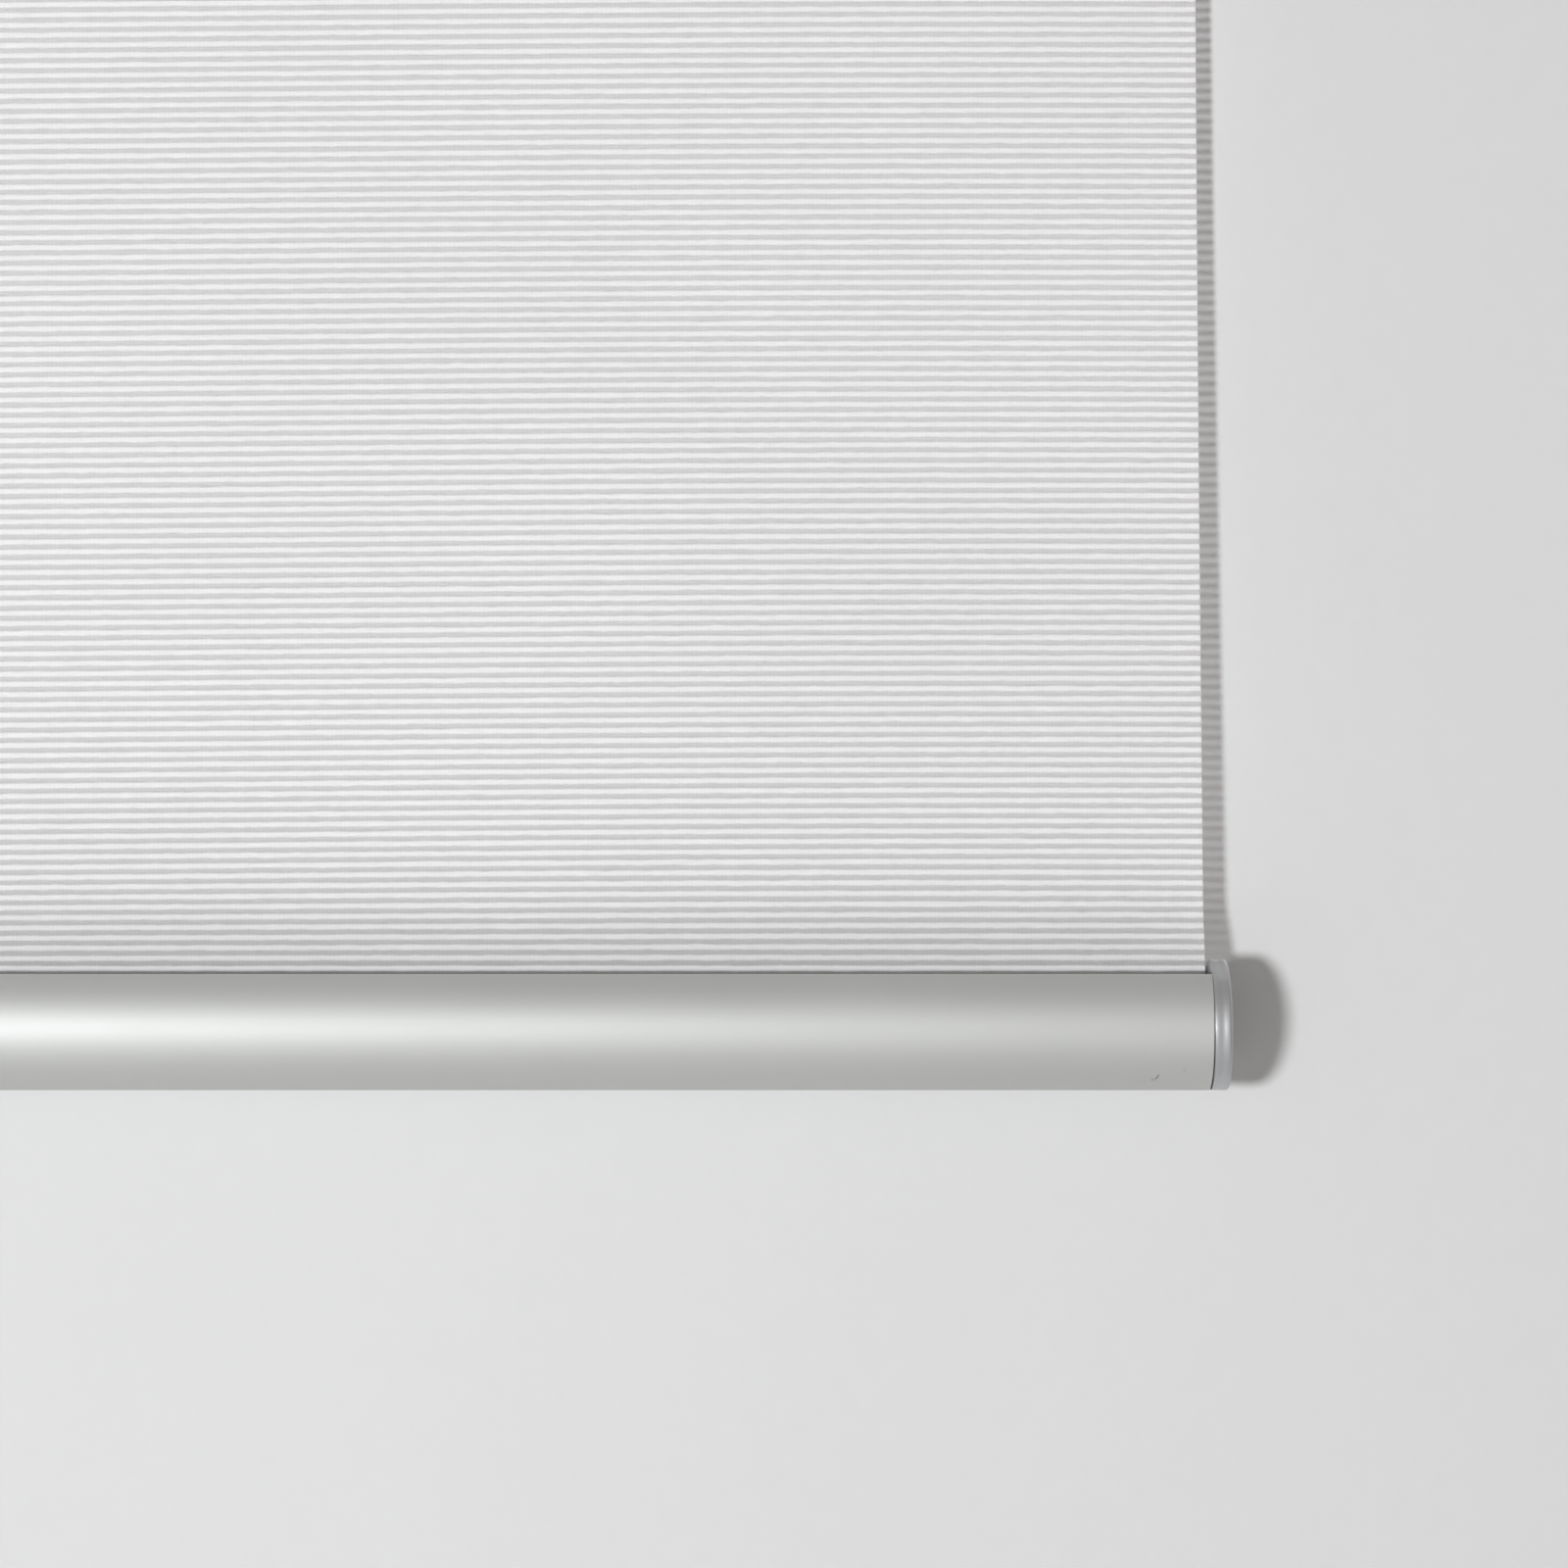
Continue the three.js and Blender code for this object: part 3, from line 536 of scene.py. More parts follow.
# The wall and floor show only their fronts and let lamps shine through, so that the blind is
# seen and lit from behind too.
def roomMaterial(name, colour):
    material, tree, shader, out = newMaterial(name)
    grain = useGroup(tree, speckle, Fine=plaster["fine"], Wide=plaster["wide"])
    tone = mathNode(tree, "MULTIPLY", toneFrom(tree, grain.outputs["Mottle"], plaster["mottleTone"]),
                    toneFrom(tree, grain.outputs["Speckle"], plaster["speckleTone"]))
    tree.links.new(toned(tree, colour, tone), shader.inputs["Base Color"])
    shader.inputs["Roughness"].default_value = plaster["rough"]
    shader.inputs["Specular IOR Level"].default_value = plaster["gloss"]
    bump = nodeIn(tree, "ShaderNodeBump", Strength=plaster["bump"], Distance=0.4 * mm)
    tree.links.new(grain.outputs["Speckle"], bump.inputs["Height"])
    tree.links.new(bump.outputs[0], shader.inputs["Normal"])
    side = tree.nodes.new("ShaderNodeNewGeometry")
    clear = tree.nodes.new("ShaderNodeBsdfTransparent")
    mix = tree.nodes.new("ShaderNodeMixShader")
    path = tree.nodes.new("ShaderNodeLightPath")
    unseen = mathNode(tree, "MAXIMUM", side.outputs["Backfacing"], path.outputs["Is Shadow Ray"])
    tree.links.new(unseen, mix.inputs[0])
    tree.links.new(shader.outputs[0], mix.inputs[1])
    tree.links.new(clear.outputs[0], mix.inputs[2])
    tree.links.new(mix.outputs[0], out.inputs["Surface"])
    return material


materials = {name: metalMaterial(name) for name in metalLooks}
materials.update({name: mouldMaterial(name) for name in mouldLooks})
materials["blindCloth"] = clothMaterial("blindCloth", cloth["open"])
materials["rolledCloth"] = clothMaterial("rolledCloth", 0)
print("materials made,", len(materials))


# ---- room ----

def makeRoom():
    half, floor, wide = room["wallHalf"], room["floorZ"], room["floorHalf"]
    y, top = room["wallY"], room["wallTop"]
    # the corners run so that the wall faces the room (-Y) and the floor faces up
    walls = dict(
        backdropWall=([(-half, y, floor), (half, y, floor), (half, y, top), (-half, y, top)],
                      room["wallColour"]),
        backdropFloor=([(-wide, -wide, floor), (wide, -wide, floor), (wide, wide, floor),
                        (-wide, wide, floor)], room["floorColour"]))
    for name, (corners, colour) in walls.items():
        mesh = bpy.data.meshes.new(name)
        mesh.from_pydata(corners, [], [(0, 1, 2, 3)])
        mesh.materials.append(roomMaterial(name, colour))
        backdrop = bpy.data.objects.new(name, mesh)
        scene.collection.objects.link(backdrop)


makeCamera()
makeWorld()
for lampName, lamp in lights.items():
    makeLight(lampName, **lamp)
makeRoom()
print("camera, light and room made")


# ---- mesh helpers ----

# Puts points and faces into a mesh, shades it smooth with sharp edges past the angle, and lets
# the piece ride on its body.
def makePiece(name, points, faces, material, body, replaced=(), sharp=38):
    mesh = bpy.data.meshes.new(name)
    mesh.from_pydata(np.asarray(points).reshape(-1, 3), [], faces)
    mesh.validate()
    mesh.update()
    mesh.shade_smooth()
    mesh.set_sharp_from_angle(angle=math.radians(sharp))
    mesh.materials.append(materials[material])
    piece = bpy.data.objects.new(name, mesh)
    scene.collection.objects.link(piece)
    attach(piece, body)
    if replaced:
        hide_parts(*replaced)
    return piece


# Quads of a grid of rows by columns, each joined to its first again where it closes.
def gridFaces(rows, columns, closeRows=False, closeColumns=False, start=0):
    r = np.arange(rows if closeRows else rows - 1)
    c = np.arange(columns if closeColumns else columns - 1)
    r, c = np.meshgrid(r, c, indexing="ij")
    rNext, cNext = (r + 1) % rows, (c + 1) % columns
    row, rowNext = r * columns, rNext * columns
    quads = np.stack([row + c, row + cNext, rowNext + cNext, rowNext + c], -1)
    return (quads.reshape(-1, 4) + start).tolist()


# A closed (y, z) outline as points, from arcs and single points: an arc is (centreY, centreZ,
# radius, fromDegrees, toDegrees, count).
def outline(*parts):
    points = []
    for part in parts:
        if len(part) == 2:
            points.append(part)
            continue
        centreY, centreZ, radius, first, last, count = part
        turn = np.radians(np.linspace(first, last, count))
        points.extend(zip(centreY + radius * np.cos(turn), centreZ + radius * np.sin(turn)))
    return np.array(points)


# A closed outline with holes, carried along X through the given stations. Each station is
# (x, inset), and the inset moves the outline in along its own normals, for rounded ends.
def extruded(loops, stations):
    points, faces, ends = [], [], ([], [])
    count = 0
    for loop in loops:
        n = len(loop)
        ahead, behind = np.roll(loop, -1, 0), np.roll(loop, 1, 0)
        along = ahead - behind
        along /= np.linalg.norm(along, axis=1)[:, None]
        inward = np.stack([-along[:, 1], along[:, 0]], 1)
        rows = []
        for x, inset in stations:
            yz = loop + inward * inset
            rows.append(np.column_stack([np.full(n, x), yz]))
        points.append(np.array(rows).reshape(-1, 3))
        faces += gridFaces(len(stations), n, closeColumns=True, start=count)
        ends[0].append(np.arange(n) + count)
        ends[1].append(np.arange(n) + count + (len(stations) - 1) * n)
        count += len(stations) * n
    points = np.concatenate(points)
    for side in (0, 1):
        index = np.concatenate(ends[side])
        flat = [[Vector((points[i][1], points[i][2], 0)) for i in loop] for loop in ends[side]]
        for tri in tessellate_polygon(flat):
            face = [int(index[i]) for i in tri]
            a, b, c = points[face]
            lookX = np.cross(b - a, c - a)[0]
            wanted = 1 if side else -1
            faces.append(face if lookX * wanted > 0 else face[::-1])
    return points, faces


# A profile of (x, radius) points turned about the X axis through (y, z). A profile that starts
# and ends on the axis gets poles there; any other closes on itself.
def turned(profile, centreY, centreZ, segments=96):
    profile = np.array(profile, float)
    turn = np.linspace(0, 2 * math.pi, segments, endpoint=False)
    onAxis = profile[0, 1] == 0 and profile[-1, 1] == 0
    ring = profile[1:-1] if onAxis else profile
    radius = ring[:, 1][:, None]
    points = np.stack([
        np.repeat(ring[:, 0][:, None], segments, 1),
        centreY + radius * np.cos(turn), centreZ + radius * np.sin(turn)], -1).reshape(-1, 3)
    faces = gridFaces(len(ring), segments, closeRows=not onAxis, closeColumns=True)
    if onAxis:
        poles = [(profile[0, 0], centreY, centreZ), (profile[-1, 0], centreY, centreZ)]
        first, last, n = len(points), len(points) + 1, segments
        points = np.concatenate([points, poles])
        base = (len(ring) - 1) * n
        faces += [[first, (i + 1) % n, i] for i in range(n)]
        faces += [[last, base + i, base + (i + 1) % n] for i in range(n)]
    return points, faces


# Turns the faces of a closed mesh round if it encloses a negative volume: the sum over its
# faces' fans of a . (b x c).
def outward(points, faces):
    points = np.asarray(points).reshape(-1, 3)
    bySize = {}
    for face in faces:
        bySize.setdefault(len(face), []).append(face)
    volume = 0.0
    for size, group in bySize.items():
        corner = points[np.array(group)]
        for i in range(1, size - 1):
            volume += np.einsum("ij,ij->", corner[:, 0], np.cross(corner[:, i], corner[:, i + 1]))
    return faces if volume > 0 else [list(face)[::-1] for face in faces]


# Gives a piece the map that its cloth reads: one (u, v) for each of its points.
def mapOnto(piece, maps):
    layer = piece.data.uv_layers.new(name="clothMap")
    loopPoint = np.zeros(len(piece.data.loops), np.int32)
    piece.data.loops.foreach_get("vertex_index", loopPoint)
    layer.data.foreach_set("uv", maps[loopPoint].astype(np.float32).ravel())


# Points for a rounded corner of a profile: a quarter turn from one angle to another.
def rounded(x, r, radius, first, last, count=6):
    turn = np.radians(np.linspace(first, last, count))
    return [(x + radius * math.cos(t), r + radius * math.sin(t)) for t in turn]


# ---- the cloth ----

# The hanging sheet ends just below the bar's front lip, and the hem goes on inside the bar.
sheetSeam = barCentre.z + barRadius * math.sin(math.radians(53)) - 0.2 * mm

ribFullness = 0.7              # the power of a rib's wave: below 1 the rib is fuller at its top

sheetShape = dict(
    pitch=1.875 * mm,          # between ribs
    relief=0.15 * mm,          # rib above gauze at the front
    backRelief=0.10 * mm,
    rowsPerRib=5, columns=26,
    bow=7.6 * mm, bowHeight=0.9,      # how far the middle hangs towards the wall
    lean=2.3 * mm,             # how far the side edges draw in above the bar
    forward=2.9 * mm, forwardHeight=14 * mm,       # how far the foot leans to the front lip
    spare=0.4 * mm,            # how much wider each half is at the bar
    tilt=0.6 * mm, tiltLength=0.5, tiltFrom=0.12,  # how the ribs wander from level
    slope=0.0015, slopeFrom=0.1, levelWithin=20 * mm,
)


# A bump that rises from 0, peaks a third of the way up and dies out: sin(pi t)(1 + cos(pi t))/2.
def hangShape(t):
    t = np.clip(t, 0, 1)
    return np.sin(math.pi * t) * (1 + np.cos(math.pi * t)) / 2


# The sheet is a grid of rows down the cloth by columns across it. A row's height is an even
# step down, moved by the ribs' slow wander. Its depth is the hang, a rib's half wave and, over
# the foot, a half cosine forward to the lip.
def makeSheet():
    s = sheetShape
    bottom, top = sheetSeam, sheetHigh.z - 0.2 * mm
    ribs = int((top - bottom) / s["pitch"])
    rows = ribs * s["rowsPerRib"] + 1
    half = sheetHigh.x
    middle = (sheetLow.y + sheetHigh.y) / 2
    thick = sheetHigh.y - sheetLow.y

    def surface(rowCount, front):
        v = np.linspace(0, ribs, rowCount)[:, None]
        across = np.linspace(-1, 1, s["columns"] + 1)[None, :]
        z = top - (top - bottom) * v / ribs
        height = z - barCentre.z
        hang = hangShape(height / s["bowHeight"])
        x = across * (half + s["spare"] - s["lean"] * hang)
        tilt = s["tilt"] * np.sin(2 * math.pi * (x - s["tiltFrom"]) / s["tiltLength"])
        wander = tilt + s["slope"] * x - s["slope"] * s["slopeFrom"]
        level = s["levelWithin"]
        z = z + wander * np.clip((z - bottom) / level, 0, 1) * np.clip((top - z) / level, 0, 1)
        wave = (0.5 - 0.5 * np.cos(2 * math.pi * v)) ** ribFullness
        if front:
            y = middle - thick / 2 + s["relief"] * (1 - wave)
        else:
            y = middle + thick / 2 - s["backRelief"] * (1 - wave)
        foot = np.clip((z - bottom) / s["forwardHeight"], 0, 1)
        y = y + s["bow"] * hang - s["forward"] * (0.5 + 0.5 * np.cos(math.pi * foot))
        return np.stack([x, y, z], -1), np.stack([x + half, ribs - v + 0 * x], -1)

    backEvery = s["rowsPerRib"]
    front, frontMap = surface(rows, True)
    back, backMap = surface(ribs + 1, False)
    back[:, :, 1] += s["backRelief"] * 0.5
    columns = s["columns"] + 1
    points = np.concatenate([front.reshape(-1, 3), back.reshape(-1, 3)])
    maps = np.concatenate([frontMap.reshape(-1, 2), backMap.reshape(-1, 2)])
    backStart = rows * columns
    faces = gridFaces(rows, columns)
    faces += [f[::-1] for f in gridFaces(ribs + 1, columns, start=backStart)]
    for r in range(ribs):
        for c, flip in ((0, False), (columns - 1, True)):
            near = [(r * backEvery + i) * columns + c for i in range(backEvery + 1)]
            far = [backStart + (r + 1) * columns + c, backStart + r * columns + c]
            rim = near + far
            faces.append(rim[::-1] if flip else rim)
    for r, rBack, flip in ((0, 0, True), (rows - 1, ribs, False)):
        for c in range(columns - 1):
            rim = [r * columns + c, r * columns + c + 1,
                   backStart + rBack * columns + c + 1, backStart + rBack * columns + c]
            faces.append(rim[::-1] if flip else rim)
    faces = outward(points, faces)
    piece = makePiece("fabricSheet", points, faces, "blindCloth", "wall", ["fabric_sheet"], sharp=60)
    mapOnto(piece, maps)
    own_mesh(piece)
    return piece


hemShape = dict(thick=0.3 * mm, loopRadius=2.425 * mm, bend=0.35 * mm, loopTurn=320, slotTop=4.1 * mm)


# The cloth's end inside the bar is a ribbon along a path, carried along X: back from the seam to
# the slot on a smooth step 3t^2 - 2t^3, down through it, a small bend, and a turn round the
# spline. Each side is the path moved out by half the thickness along the path's normal.
def makeHem():
    s = hemShape
    lowest = clampCentre.z + s["loopRadius"] + s["bend"]
    slotTop = clampCentre.z + s["slotTop"]
    z = np.linspace(sheetSeam, lowest, 24)
    rise = np.clip((z - slotTop) / (sheetSeam - slotTop), 0, 1)
    straight = np.column_stack([-sheetShape["forward"] * rise ** 2 * (3 - 2 * rise), z - clampCentre.z])
    first = 90 + math.degrees(math.atan(s["bend"] / s["loopRadius"]))
    path = np.concatenate([
        straight[:-1],
        outline((-s["bend"], s["loopRadius"] + s["bend"], s["bend"], 0, -90, 6))[:-1],
        outline((0, 0, s["loopRadius"], first, first + s["loopTurn"], 44))])
    path += np.array([clampCentre.y, clampCentre.z])
    step = np.gradient(path, axis=0)
    step /= np.linalg.norm(step, axis=1)[:, None]
    side = np.column_stack([-step[:, 1], step[:, 0]]) * s["thick"] / 2
    loop = np.concatenate([path + side, (path - side)[::-1]])
    half = sheetHigh.x
    xs = np.linspace(-half, half, 13)
    points, faces = extruded([loop], [(x, 0) for x in xs])
    piece = makePiece("fabricHem", points, outward(points, faces), "blindCloth", "bottom_bar",
                      ["fabric_sheet"], sharp=60)
    along = np.concatenate([[0], np.cumsum(np.linalg.norm(np.diff(path, axis=0), axis=1))])
    ribs = -np.concatenate([along, along[::-1]]) / sheetShape["pitch"]
    mapOnto(piece, np.column_stack([np.repeat(xs + half, len(loop)), np.tile(ribs, len(xs))]))
    return piece


# ---- the bottom bar and its caps ----

barShape = dict(
    wall=1.2 * mm, frontLip=54.4, backLip=63, lipRound=0.22 * mm,
    clampInner=2.8 * mm, clampWall=1.2 * mm, web=1.2 * mm, slotHalf=0.575 * mm, endRound=0.12 * mm,
)


# The bar's section is one outer loop, from the front lip round the bottom to the back lip, in
# along the webs and round the clamp channel, and one hole between the two webs.
def makeBottomBar():
    s = barShape
    outer, inner = barRadius, barRadius - s["wall"]
    y0, z0 = clampCentre.y - barCentre.y, clampCentre.z - barCentre.z
    cIn, cOut, halfWeb = s["clampInner"], s["clampInner"] + s["clampWall"], s["web"] / 2
    slotIn = math.degrees(math.asin(s["slotHalf"] / cIn))
    slotOut = math.degrees(math.asin(s["slotHalf"] / cOut))
    lip = s["lipRound"]
    front, back = 180 - s["frontLip"], 360 + s["backLip"]

    # where a lip's corner round is centred, at a radius, and how far back the round starts
    def corner(radius, end, way):
        turn = end - way * math.degrees(lip / radius)
        return radius * math.cos(math.radians(turn)), radius * math.sin(math.radians(turn)), turn

    frontOut, frontIn = corner(outer - lip, front, -1), corner(inner + lip, front, -1)
    backOut, backIn = corner(outer - lip, back, 1), corner(inner + lip, back, 1)
    webTop, webLow = z0 + halfWeb, z0 - halfWeb
    webLeft, webRight = y0 - halfWeb, y0 + halfWeb
    webAngle = math.degrees(math.asin(halfWeb / cOut))
    outerLoop = outline(
        (0, 0, outer, frontOut[2], backOut[2], 200),
        (*backOut[:2], lip, backOut[2], back + 90, 5),
        (*backIn[:2], lip, back + 90, backIn[2] + 180, 5),
        (0, 0, inner, backIn[2], 360 + math.degrees(math.asin(webTop / inner)), 24),
        (y0, z0, cOut, webAngle, 90 - slotOut, 18),
        (y0, z0, cIn, 90 - slotIn, -270 + slotIn, 44),
        (y0, z0, cOut, 90 + slotOut, 270 - webAngle, 26),
        (0, 0, inner, 270 + math.degrees(math.asin(webLeft / inner)), frontIn[2], 90),
        (*frontIn[:2], lip, frontIn[2] - 180, front - 270, 5),
        (*frontOut[:2], lip, front - 270, frontOut[2] - 360, 5))
    hole = outline(
        (0, 0, inner, 360 + math.degrees(math.asin(webLow / inner)),
         270 + math.degrees(math.asin(webRight / inner)), 30),
        (y0, z0, cOut, 270 + webAngle, 360 - webAngle, 12))
    # the arcs meet end to end, so a point that repeats the one before it goes
    apart = np.linalg.norm(np.diff(outerLoop, axis=0), axis=1)
    outerLoop = outerLoop[np.concatenate([[True], apart > 0.001 * mm])]
    r = s["endRound"]
    stations = [(-barEnd, r), (-barEnd + 0.3 * r, 0.3 * r), (-barEnd + r, 0), (-barEnd + 1.3 * r, 0)]
    xs = np.linspace(-barEnd + 0.6 * mm, barEnd - 0.6 * mm, 25)
    stations += [(x, 0) for x in xs] + [(-x, inset) for x, inset in stations[::-1]]
    points, faces = extruded([outerLoop, hole], stations)
    points = points + np.array([0, barCentre.y, barCentre.z])
    return makePiece("bottomBar", points, outward(points, faces), "satinAluminium", "bottom_bar",
                     ["bottom_bar"], sharp=50)


capShape = dict(
    faceRound=0.7 * mm, backRound=0.08 * mm, hollow=0.05 * mm, hollowFrom=0.55 * mm, hollowWide=1.8 * mm,
    dish=0.35 * mm, dishFrom=8.6 * mm, stand=0.0115, close=0.15 * mm,
    tongueDeep=12 * mm, tongueThick=2.3 * mm, tongues=((176, 261), (303, 343)),
)


# The cap is a profile turned about the bar's axis: a rim that is hollowed by a half wave, a
# rounded outer edge and a slightly dished face. Two tongues of a ring's section reach into the
# bar. The cap stands off a little more at the bottom than at the top.
def makeCap(name, side, node):
    s = capShape
    low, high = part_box(node)
    outside = high.x if side > 0 else -low.x
    inside = barEnd + 0.3 * mm
    r = barRadius
    profile = [(inside, 0)]
    profile += [(inside, r * k) for k in (0.3, 0.6, 0.9)]
    profile += rounded(inside + s["backRound"], r - s["backRound"], s["backRound"], 180, 90, 4)
    t = np.linspace(0, 1, 12)
    hollow = s["hollow"] * (0.5 - 0.5 * np.cos(2 * math.pi * t))
    profile += list(zip(inside + s["hollowFrom"] + s["hollowWide"] * t, r - hollow))
    profile += rounded(outside - s["faceRound"], r - s["faceRound"], s["faceRound"], 90, 0, 10)
    profile += [(outside, s["dishFrom"] + 0.4 * mm)]
    profile += rounded(outside - s["dish"], s["dishFrom"] + 0.1 * mm, s["dish"], 0, -70, 5)
    profile += [(outside - s["dish"] * 0.75, 4 * mm), (outside - s["dish"] * 0.7, 0)]
    points, faces = turned(profile, barCentre.y, barCentre.z, 144)
    faces = outward(points, faces)
    tongueOuter = r - barShape["wall"] - 0.3 * mm
    for first, last in s["tongues"]:
        loop = outline((barCentre.y, barCentre.z, tongueOuter, first, last, 24),
                       (barCentre.y, barCentre.z, tongueOuter - s["tongueThick"], last, first, 24))
        stations = [(barEnd - s["tongueDeep"], 0.3 * mm), (barEnd - s["tongueDeep"] + 0.5 * mm, 0),
                    (inside + 0.2 * mm, 0)]
        more, moreFaces = extruded([loop], stations)
        moreFaces = outward(more, moreFaces)
        faces = faces + [[i + len(points) for i in f] for f in moreFaces]
        points = np.concatenate([points, more])
    points[:, 0] += s["stand"] * (barCentre.z - points[:, 2]) - s["close"]
    if side < 0:
        points = points * np.array([-1, 1, 1])
        faces = [list(f)[::-1] for f in faces]
    return makePiece(name, points, faces, "silverCap", "bottom_bar", [node], sharp=34)


makeSheet()
makeHem()
print("cloth hung")
makeBottomBar()
makeCap("capRight", 1, "bar_cap_right")
makeCap("capLeft", -1, "bar_cap_left")
print("bottom bar and caps made")


# ---- the roller: cloth, tube and springs ----

wrapShape = dict(ribs=63, columns=24, rowsPerRib=5, relief=0.14 * mm)


# The cloth left on the roller is a sleeve of ribs: its outer radius is a half wave round the
# turn, and its inner one is even. Both are grids round the turn by stations along X.
def makeWrap():
    s = wrapShape
    inner = tubeHigh.z + 0.3 * mm
    half = wrapHigh.x
    outerRows, innerRows = s["ribs"] * s["rowsPerRib"], s["ribs"]
    xs = np.linspace(-half, half, s["columns"] + 1)[None, :]

    def shell(rows, radius):
        v = np.arange(rows)[:, None] / rows * s["ribs"]
        turn = 2 * math.pi * v / s["ribs"]
        r = radius(v)
        x = xs + 0 * turn
        return (np.stack([x, rollerY + r * np.cos(turn) + 0 * x, r * np.sin(turn) + 0 * x], -1),
                np.stack([x + half, v + 0 * x], -1))

    outer, outerMap = shell(
        outerRows, lambda v: wrapRadius - s["relief"] * (0.5 + 0.5 * np.cos(2 * math.pi * v)) ** ribFullness)
    core, coreMap = shell(innerRows, lambda v: inner + 0 * v)
    columns = s["columns"] + 1
    points = np.concatenate([outer.reshape(-1, 3), core.reshape(-1, 3)])
    maps = np.concatenate([outerMap.reshape(-1, 2), coreMap.reshape(-1, 2)])
    start = outerRows * columns
    faces = [f[::-1] for f in gridFaces(outerRows, columns, closeRows=True)]
    faces += gridFaces(innerRows, columns, closeRows=True, start=start)
    for r in range(innerRows):
        for c, flip in ((0, True), (columns - 1, False)):
            rows = [(r * s["rowsPerRib"] + i) % outerRows for i in range(s["rowsPerRib"] + 1)]
            near = [row * columns + c for row in rows]
            far = [start + ((r + 1) % innerRows) * columns + c, start + r * columns + c]
            rim = near + far
            faces.append(rim[::-1] if flip else rim)
    faces = outward(points, faces)
    piece = makePiece("fabricWrap", points, faces, "rolledCloth", "roller", ["fabric_wrap"], sharp=60)
    mapOnto(piece, maps)
    return piece


tubeShape = dict(wall=1.2 * mm, keyHalf=2 * mm, keyDeep=2.6 * mm, endRound=0.12 * mm)


# The tube's section is a ring with a keyway let into its top, so both loops follow the ring
# round from one side of the keyway to the other and then step down round it.
def makeTube():
    s = tubeShape
    outer = tubeHigh.z
    bore = outer - s["wall"]
    key, wide = s["keyHalf"], s["keyHalf"] + s["wall"]
    floor = outer - s["keyDeep"]
    edge = math.degrees(math.acos(key / outer))
    inEdge = math.degrees(math.acos(wide / bore))
    outerLoop = outline((0, 0, outer, 180 - edge, 360 + edge, 160), (key, floor), (-key, floor))
    innerLoop = outline((0, 0, bore, 360 + inEdge, 180 - inEdge, 160),
                        (-wide, floor - s["wall"]), (wide, floor - s["wall"]))
    r = s["endRound"]
    end = tubeHigh.x
    stations = [(-end, r), (-end + r, 0)]
    stations += [(x, 0) for x in np.linspace(-end + 5 * mm, end - 5 * mm, 13)]
    stations += [(end - r, 0), (end, r)]
    points, faces = extruded([outerLoop, innerLoop], stations)
    points = points + np.array([0, rollerY, 0])
    return makePiece("rollerTube", points, outward(points, faces), "tubeAluminium", "roller",
                     ["roller_tube"])


springs = dict(
    liftSpring=dict(node="lift_spring", wire=0.8 * mm, pitch=1.72 * mm, perTurn=20, wireSides=6),
    idlePinSpring=dict(node="idle_pin_spring", wire=0.55 * mm, pitch=2.4 * mm, perTurn=24, wireSides=8,
                       push="idle_pin_slide"),
)


# A helix of round wire: the wire's centre is (x0 + p t, r cos t, r sin t) and its section is a
# circle in the plane of the radius and the axis. Each end is closed by a flat face.
def makeSpring(name, node, wire, pitch, perTurn, wireSides, push=None):
    low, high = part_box(node)
    body = body_of(frame["nodes"][node])[0]
    radius = (high.z - low.z) / 2 - wire
    start, length = low.x + wire, high.x - low.x - 2 * wire
    turns = length / pitch
    t = np.linspace(0, 2 * math.pi * turns, int(turns * perTurn) + 1)[:, None]
    s = np.linspace(0, 2 * math.pi, wireSides, endpoint=False)[None, :]
    r = radius + wire * np.cos(s)
    x = start + length * t / t[-1] + wire * np.sin(s)
    points = np.stack([x, rollerY + r * np.cos(t), r * np.sin(t)], -1).reshape(-1, 3)
    faces = gridFaces(len(t), wireSides, closeColumns=True)
    faces.append(list(range(wireSides))[::-1])
    faces.append([len(points) - wireSides + i for i in range(wireSides)])
    piece = makePiece(name, points, outward(points, faces), "springSteel", body, [node], sharp=60)
    if push:
        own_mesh(piece)
    return piece


makeWrap()
makeTube()
for springName, spring in springs.items():
    makeSpring(springName, **spring)
print("roller cloth, tube and springs made")


# ---- brackets, covers, end pieces and mechanism: CAD shapes with their edges rounded ----

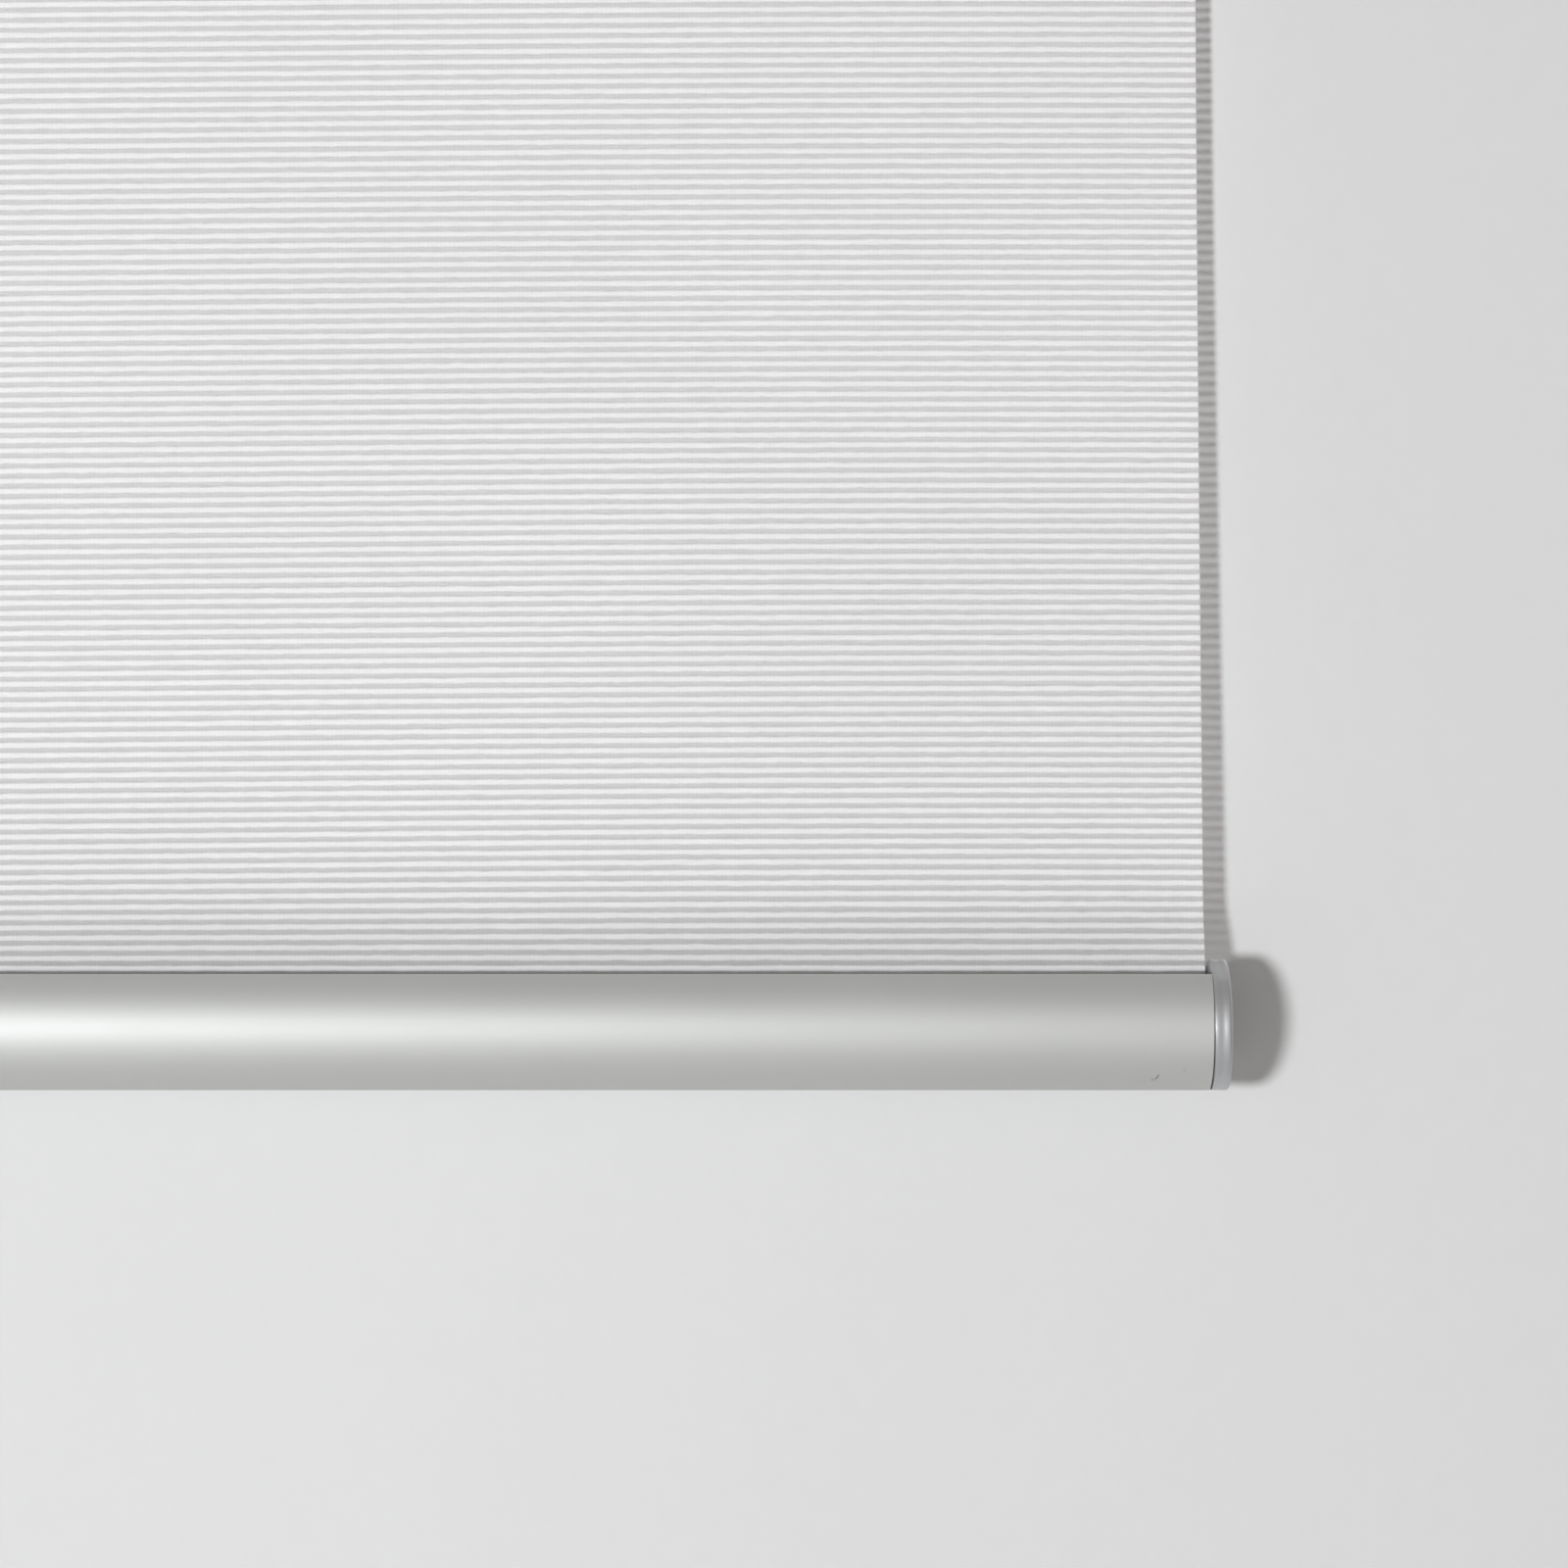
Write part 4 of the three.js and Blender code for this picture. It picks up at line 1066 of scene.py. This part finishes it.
# name: (CAD node, finish, edge radius in mm)
softenedParts = dict(
    bracketLeft=("bracket_left", "bracketPaint", 0.5), bracketRight=("bracket_right", "bracketPaint", 0.5),
    coverLeft=("bracket_cover_left", "whitePlastic", 0.7),
    coverRight=("bracket_cover_right", "whitePlastic", 0.7),
    screwLeftUpper=("screw_left_upper", "platedSteel", 0.12),
    screwLeftLower=("screw_left_lower", "platedSteel", 0.12),
    screwRightUpper=("screw_right_upper", "platedSteel", 0.12),
    screwRightLower=("screw_right_lower", "platedSteel", 0.12),
    springEndCrown=("spring_end_crown", "whitePlastic", 0.35),
    idleEndPlug=("idle_end_plug", "whitePlastic", 0.35),
    spindleShaft=("spindle", "platedSteel", 0.25), ratchetWheel=("ratchet_wheel", "platedSteel", 0.2),
    ratchetCover=("ratchet_cover", "platedSteel", 0.2),
    pawlA=("pawl_a", "brass", 0.2), pawlB=("pawl_b", "brass", 0.2),
    pawlPinA=("pawl_pin_a", "platedSteel", 0.2), pawlPinB=("pawl_pin_b", "platedSteel", 0.2),
    springAnchor=("spring_anchor", "whitePlastic", 0.3),
    springCarrier=("spring_carrier", "whitePlastic", 0.3),
    spindleBush=("spindle_bush", "whitePlastic", 0.25), spindleClip=("spindle_clip", "springSteel", 0.12),
    idleBush=("idle_bush", "brass", 0.2), idlePin=("idle_pin", "platedSteel", 0.25),
    tubeSpline=("tube_spline", "whitePlastic", 0.2), bottomSpline=("bottom_spline", "whitePlastic", 0.3),
)


# A copy of a CAD part with its doubles merged, its flat triangles joined and its edges rounded.
# Its normals are weighted by area, so that its flat faces stay evenly lit.
def softened(name, node, finish, radius):
    source = frame["nodes"][node]
    mesh = source.data.copy()
    work = bmesh.new()
    work.from_mesh(mesh)
    bmesh.ops.remove_doubles(work, verts=work.verts, dist=2e-6)
    bmesh.ops.dissolve_limit(work, angle_limit=math.radians(0.6), verts=work.verts, edges=work.edges)
    work.to_mesh(mesh)
    work.free()
    mesh.shade_smooth()
    rough = bpy.data.objects.new(name + "Rough", mesh)
    scene.collection.objects.link(rough)
    bevel = rough.modifiers.new("rounded", "BEVEL")
    bevel.width = radius * mm
    bevel.segments = 3
    bevel.limit_method = "ANGLE"
    bevel.angle_limit = math.radians(30)
    even = rough.modifiers.new("even", "WEIGHTED_NORMAL")
    even.weight = 80
    bpy.context.view_layer.update()
    finished = bpy.data.meshes.new_from_object(rough.evaluated_get(bpy.context.evaluated_depsgraph_get()))
    bpy.data.objects.remove(rough)
    finished.name = name
    finished.materials.clear()
    finished.materials.append(materials[finish])
    piece = bpy.data.objects.new(name, finished)
    scene.collection.objects.link(piece)
    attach(piece, body_of(source)[0])
    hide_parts(node)
    return piece


for partName, (node, finish, radius) in softenedParts.items():
    softened(partName, node, finish, radius)
print("end pieces finished,", len(softenedParts))
